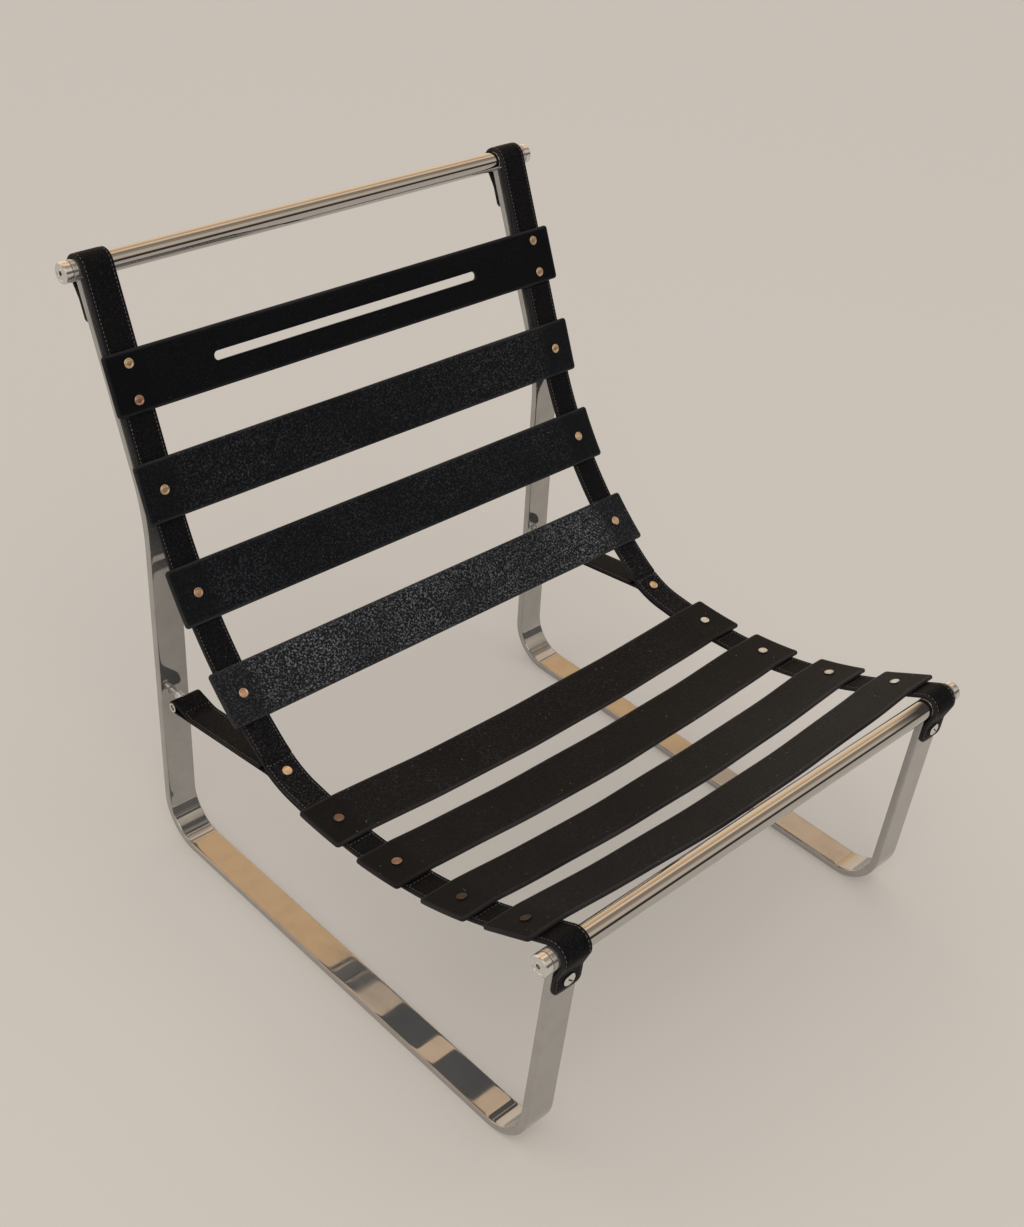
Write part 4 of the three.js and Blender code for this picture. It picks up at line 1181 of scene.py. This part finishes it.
def rivet_piece(view, row, name, side):
    """A rivet: a low dome with a rolled rim, a shank and a clenched washer behind."""
    fittings, fit = view.fittings, view.leather.fit
    station, top, back = view.rivets()[row]
    place, axis = view.strap_spot(side, station)
    head, tail = top + fit, back - fit
    radius, height, shank = fittings.rivet_radius, fittings.rivet_height, fittings.rivet_shank
    washer, washer_height, chamfer = fittings.rivet_tail, fittings.rivet_tail_height, 0.0004
    rolled = [
        (radius * (0.82 + 0.18 * math.cos(a)), head + height * (0.30 + 0.50 * math.sin(a)))
        for a in np.linspace(-0.5, 2.4, 10)
    ]
    dome = [(radius * 0.62 * math.cos(a), head + height * (0.60 + 0.16 * math.sin(a))) for a in np.linspace(0, 1.5, 8)]
    profile = [
        (0, tail - washer_height - chamfer),
        (0.0014, tail - washer_height - chamfer),
        (0.0019, tail - washer_height),
        (washer - chamfer, tail - washer_height),
        (washer, tail - washer_height / 2),
        (washer - chamfer, tail),
        (shank, tail),
        (shank, head),
        *rolled,
        *dome,
        (0, head + height * 0.76),
    ]
    body = Body()
    turned(body, profile, place, axis, 36)
    node_name = f"rivet_{row}_{name}"
    # A tone per place: partly tarnish, partly painted reflection and shade
    tone = RIVET_TONES[name].get(row, "copper")
    piece("copper_" + node_name, body, [tone + "_rivet"], [node_name])


def slotted_screw_piece(view, node_name, place, axis):
    """A low screw head on a plain shank, with a slot cut across it and a dark block in the slot as painted shade."""
    steel, leather, fittings = view.steel, view.leather, view.fittings
    head = steel.bar_thickness / 2 + 2 * leather.fit + leather.strap_thickness
    tip = steel.bar_thickness / 2 - fittings.screw_grip
    height, radius, shank = fittings.screw_height, fittings.screw_radius, fittings.screw_shank
    top, chamfer = head + height, 0.0003
    crown = ((1, 0.5), (0.93, 0.72), (0.84, 0.84), (0.6, 0.93), (0.3, 0.98))
    profile = [
        (0, tip),
        (shank, tip),
        (shank, head),
        (radius - chamfer, head),
        (radius, head + chamfer),
        *((radius * r, head + height * h) for r, h in crown),
        (0, top),
    ]
    body = Body()
    turned(body, profile, place, axis)
    slot = slot_body(place, axis, 0.0042, 0.0009, top - 0.0021, top + 0.002)
    # A dark block sunk in the slot, painted shade
    shade_block = slot_body(place, axis, 0.0041, 0.00085, top - 0.0023, top - 0.0010)
    mesh = cut_mesh(node_name + "_head", body, slot)
    piece(node_name + "_head", mesh, ["bright_fitting"], [node_name])
    piece(node_name + "_grime", shade_block, ["slot_grime"], [node_name])


def stay_fitting_pieces(view, name, side):
    """The stud through the post, with a collar, a barrel and a neck, its domed nut, and the turned pin at its tip."""
    steel, leather, fittings = view.steel, view.leather, view.fittings
    place, axis = view.place(side, view.stay_root), view.place(0, view.stay_out)
    face = steel.bar_thickness / 2 + leather.fit
    nut_end = -face - fittings.nut_length
    start = nut_end + 0.0019
    tip = fittings.stay_reach - fittings.pin_radius + 0.0006
    shoulder = tip - leather.stay_layer - 0.0012
    collar, collar_height = (face + shoulder) / 2, 0.0012
    neck, barrel = fittings.neck_radius, fittings.barrel_radius
    stud = Body()
    profile = eased([
        (0, start),
        (neck, start),
        (neck, collar - collar_height),
        (barrel + 0.0005, collar - collar_height),
        (barrel + 0.0005, collar),
        (barrel - 0.0004, collar + 0.0003),
        (barrel, collar + 0.0010),
        (barrel, shoulder),
        (neck, shoulder),
        (neck, tip),
        (0, tip),
    ], 0.0006)
    turned(stud, profile, place, axis)
    piece("stay_stud_" + name + "_turned", stud, ["satin_stud"], ["stay_stud_" + name])
    nut = Body()
    radius, low = fittings.nut_radius, nut_end + 0.0016
    turned(nut, [(0, low), (radius, low), (radius, -face), (0, -face)], place, axis, 6)
    dome = [(0.0060 * math.sin(a), nut_end + 0.0028 * (1 - math.cos(a))) for a in np.linspace(0, 1.5, 12)]
    turned(nut, [*dome, (0, nut_end + 0.0030)], place, axis, 40)
    piece("stay_nut_" + name + "_domed", nut, ["bright_fitting"], ["stay_nut_" + name],
          math.radians(25))
    pin = Body()
    half, radius = leather.strap_width / 2, fittings.pin_radius
    bore, floor, rim, flange, end = radius - 0.0016, half - 0.004, radius + 0.0006, half + 0.0001, half + 0.0010
    half_profile = [(0, floor), (bore, floor), (bore, end), (rim, end), (rim, flange), (radius, flange)]
    profile = eased([*((r, -h) for r, h in half_profile), *half_profile[::-1]], 0.0003)
    turned(pin, profile, view.place(side, view.pin), ACROSS, 40)
    piece("stay_pin_" + name + "_turned", pin, ["bright_fitting"], ["stay_pin_" + name])


# Operators


class CHAIR_OT_steel_frames(bpy.types.Operator):
    """Build the two side frames and the two rods that join them."""

    bl_idname = "chair.steel_frames"
    bl_label = "Steel Frames and Rods"

    def execute(self, context):
        view = SideView()
        for name, side in SIDES.items():
            side_frame_piece(view, name, side)
        rod_piece(view, "head_rod", view.head)
        rod_piece(view, "front_rod", view.knee)
        return {"FINISHED"}


class CHAIR_OT_rod_caps(bpy.types.Operator):
    """Build the caps on the ends of the two rods."""

    bl_idname = "chair.rod_caps"
    bl_label = "Rod Caps"

    def execute(self, context):
        view = SideView()
        for name, side in SIDES.items():
            end_cap_piece(view, view.head, side, "head_bolt_" + name)
            end_cap_piece(view, view.knee, side, "front_bolt_" + name)
        return {"FINISHED"}


class CHAIR_OT_main_straps(bpy.types.Operator):
    """Build the two long straps with their stitching."""

    bl_idname = "chair.main_straps"
    bl_label = "Main Straps"

    def execute(self, context):
        view = SideView()
        for name, side in SIDES.items():
            main_strap_piece(view, name, side)
        return {"FINISHED"}


class CHAIR_OT_stay_straps(bpy.types.Operator):
    """Build the two folded stay straps."""

    bl_idname = "chair.stay_straps"
    bl_label = "Stay Straps"

    def execute(self, context):
        view = SideView()
        for name, side in SIDES.items():
            stay_strap_piece(view, name, side)
        return {"FINISHED"}


class CHAIR_OT_slats(bpy.types.Operator):
    """Build the leather slats of the back and the seat."""

    bl_idname = "chair.slats"
    bl_label = "Slats"

    def execute(self, context):
        view = SideView()
        for index in range(len(view.slats)):
            slat_piece(view, index)
        return {"FINISHED"}


class CHAIR_OT_rivets(bpy.types.Operator):
    """Build the copper rivets."""

    bl_idname = "chair.rivets"
    bl_label = "Rivets"

    def execute(self, context):
        view = SideView()
        for row in RIVET_ROWS:
            for name, side in SIDES.items():
                rivet_piece(view, row, name, side)
        return {"FINISHED"}


class CHAIR_OT_fittings(bpy.types.Operator):
    """Build the slotted screws and the fittings that hold the stays."""

    bl_idname = "chair.fittings"
    bl_label = "Screws and Stay Fittings"

    def execute(self, context):
        view = SideView()
        for name, side in SIDES.items():
            tab = view.lap_spot(side, view.knee, view.front_foot, view.leather.tab_length, -1)
            tail = view.lap_spot(side, view.head, view.bend, view.leather.tail_length, 1)
            slotted_screw_piece(view, "tab_screw_" + name, *tab)
            slotted_screw_piece(view, "tail_screw_" + name, *tail)
            stay_fitting_pieces(view, name, side)
        return {"FINISHED"}


class CHAIR_OT_stage(bpy.types.Operator):
    """Build the floor, the sky, the key light and the camera."""

    bl_idname = "chair.stage"
    bl_label = "Floor, Light and Camera"

    def execute(self, context):
        scene = context.scene
        settings = scene.chair_stage
        self.floor(settings)
        self.world(scene, settings)
        self.key_light(settings)
        self.camera(scene, settings)
        return {"FINISHED"}

    def floor(self, settings):
        """A plain plane. Part of its colour glows, so that shadows on it stay pale."""
        mesh = bpy.data.meshes.new("floor")
        corners = [(FLOOR_REACH * x, FLOOR_REACH * y, 0) for x, y in ((-1, -1), (1, -1), (1, 1), (-1, 1))]
        mesh.from_pydata(corners, [], [(0, 1, 2, 3)])
        plane = bpy.data.objects.new("floor", mesh)
        bpy.context.scene.collection.objects.link(plane)
        made = bpy.data.materials.new("pale_floor")
        made.use_nodes = True
        lit = [value * (1 - settings.floor_glow) for value in settings.floor[:3]]
        feed(made.node_tree, made.node_tree.nodes["Principled BSDF"], {
            "Base Color": (*lit, 1), "Emission Color": settings.floor, "Emission Strength": settings.floor_glow,
            "Roughness": 0.9, "Specular IOR Level": 0.2,
        })
        mesh.materials.append(made)

    def key_light(self, settings):
        """One large square lamp that faces the chair."""
        lamp = bpy.data.lights.new("key_softbox", "AREA")
        lamp.shape = "SQUARE"
        lamp.size = KEY_WIDTH
        lamp.energy = settings.key_strength
        lamp.color = KEY_TINT
        made = bpy.data.objects.new("key_softbox", lamp)
        made.location = KEY_PLACE
        made.rotation_euler = (Vector(KEY_TARGET) - Vector(KEY_PLACE)).to_track_quat("-Z", "Y").to_euler()
        bpy.context.scene.collection.objects.link(made)

    def world(self, scene, settings):
        """An even sky for light. Glossy rays see another sky that changes only with its angle from the rear over
        the top to the front: a tan wall with a few dark lines behind the chair and overhead, and a dark band in
        front. Far off to the sides a third one takes over."""
        world = bpy.data.worlds.new("studio")
        scene.world = world
        world.use_nodes = True
        tree = world.node_tree
        place = node(tree, "ShaderNodeTexCoord", (-1100, 0))["Generated"]
        parts = node(tree, "ShaderNodeSeparateXYZ", (-900, 0), {0: place})
        angle = maths(tree, (-700, 0), "ARCTAN2", parts["Z"], parts["Y"])
        half_turn = maths(tree, (-550, 0), "DIVIDE", angle, math.pi)
        mirrored = ramp(tree, (-400, 0), half_turn, [(degrees / 180, shade) for degrees, shade in MIRRORED_SKY])
        aside = maths(tree, (-700, -250), "ABSOLUTE", parts["X"])
        ends = ranged(tree, (-550, -250), Value=aside, From_Min=SIDE_SKY_START, From_Max=SIDE_SKY_FULL)
        blend = mix(tree, (-100, 0), ends, mirrored, ramp(tree, (-400, -450), aside, SIDE_SKY))
        glossy = node(tree, "ShaderNodeLightPath", (-100, 300))["Is Glossy Ray"]
        seen = mix(tree, (100, 0), glossy, (1, 1, 1, 1), blend)
        strength = ranged(tree, (100, -250), Value=glossy, To_Min=settings.sky, To_Max=settings.mirrored_sky)
        feed(tree, tree.nodes["Background"], {"Color": seen, "Strength": strength})

    def camera(self, scene, settings):
        """The camera where the photo's was, turned about its view by the photo's roll."""
        data = bpy.data.cameras.new("photo_camera")
        data.sensor_fit = "HORIZONTAL"
        data.sensor_width = SENSOR_WIDTH
        data.lens = settings.lens
        data.clip_end = 100
        azimuth, elevation = settings.camera_azimuth, settings.camera_elevation
        ahead = Vector((
            -math.sin(azimuth) * math.cos(elevation),
            math.cos(azimuth) * math.cos(elevation),
            -math.sin(elevation),
        ))
        level = ahead.cross(Vector((0, 0, 1))).normalized()
        turn = Matrix.Rotation(-settings.camera_roll, 3, ahead)
        right = turn @ level
        above = right.cross(ahead)
        made = bpy.data.objects.new("photo_camera", data)
        axes = Matrix((right, above, -ahead)).transposed().to_4x4()
        made.matrix_world = Matrix.Translation(settings.camera_place) @ axes
        scene.collection.objects.link(made)
        scene.camera = made
        scene.view_settings.view_transform = "Standard"


BUILDERS = (
    CHAIR_OT_steel_frames,
    CHAIR_OT_rod_caps,
    CHAIR_OT_main_straps,
    CHAIR_OT_stay_straps,
    CHAIR_OT_slats,
    CHAIR_OT_rivets,
    CHAIR_OT_fittings,
    CHAIR_OT_stage,
)


class CHAIR_PT_panel(bpy.types.Panel):
    """Lists the builders, the sizes, the finishes and the stage's settings."""

    bl_idname = "CHAIR_PT_panel"
    bl_label = "Lounge Chair"
    bl_space_type = "VIEW_3D"
    bl_region_type = "UI"
    bl_category = "Lounge Chair"

    def draw(self, context):
        layout = self.layout
        for builder in BUILDERS:
            layout.operator(builder.bl_idname)
        for group_name in GROUPS:
            group = getattr(context.scene, group_name)
            box = layout.box()
            for key in group.__annotations__:
                box.prop(group, key)


GROUPS = {
    "chair_frame": ChairFrameSizes,
    "chair_leather": ChairLeatherSizes,
    "chair_fittings": ChairFittingSizes,
    "chair_finishes": ChairFinishes,
    "chair_stage": ChairStageSettings,
}


def register():
    """Register the property groups, the builders and the panel."""
    for kind in (*GROUPS.values(), *BUILDERS, CHAIR_PT_panel):
        bpy.utils.register_class(kind)
    for name, kind in GROUPS.items():
        setattr(bpy.types.Scene, name, PointerProperty(type=kind))


def unregister():
    """Take everything that register added away again."""
    for name in GROUPS:
        delattr(bpy.types.Scene, name)
    for kind in (CHAIR_PT_panel, *reversed(BUILDERS), *reversed(GROUPS.values())):
        bpy.utils.unregister_class(kind)


def main():
    """Build every piece and the stage in order."""
    register()
    for builder in BUILDERS:
        section, name = builder.bl_idname.split(".")
        getattr(getattr(bpy.ops, section), name)()


if __name__ == "__main__":
    main()
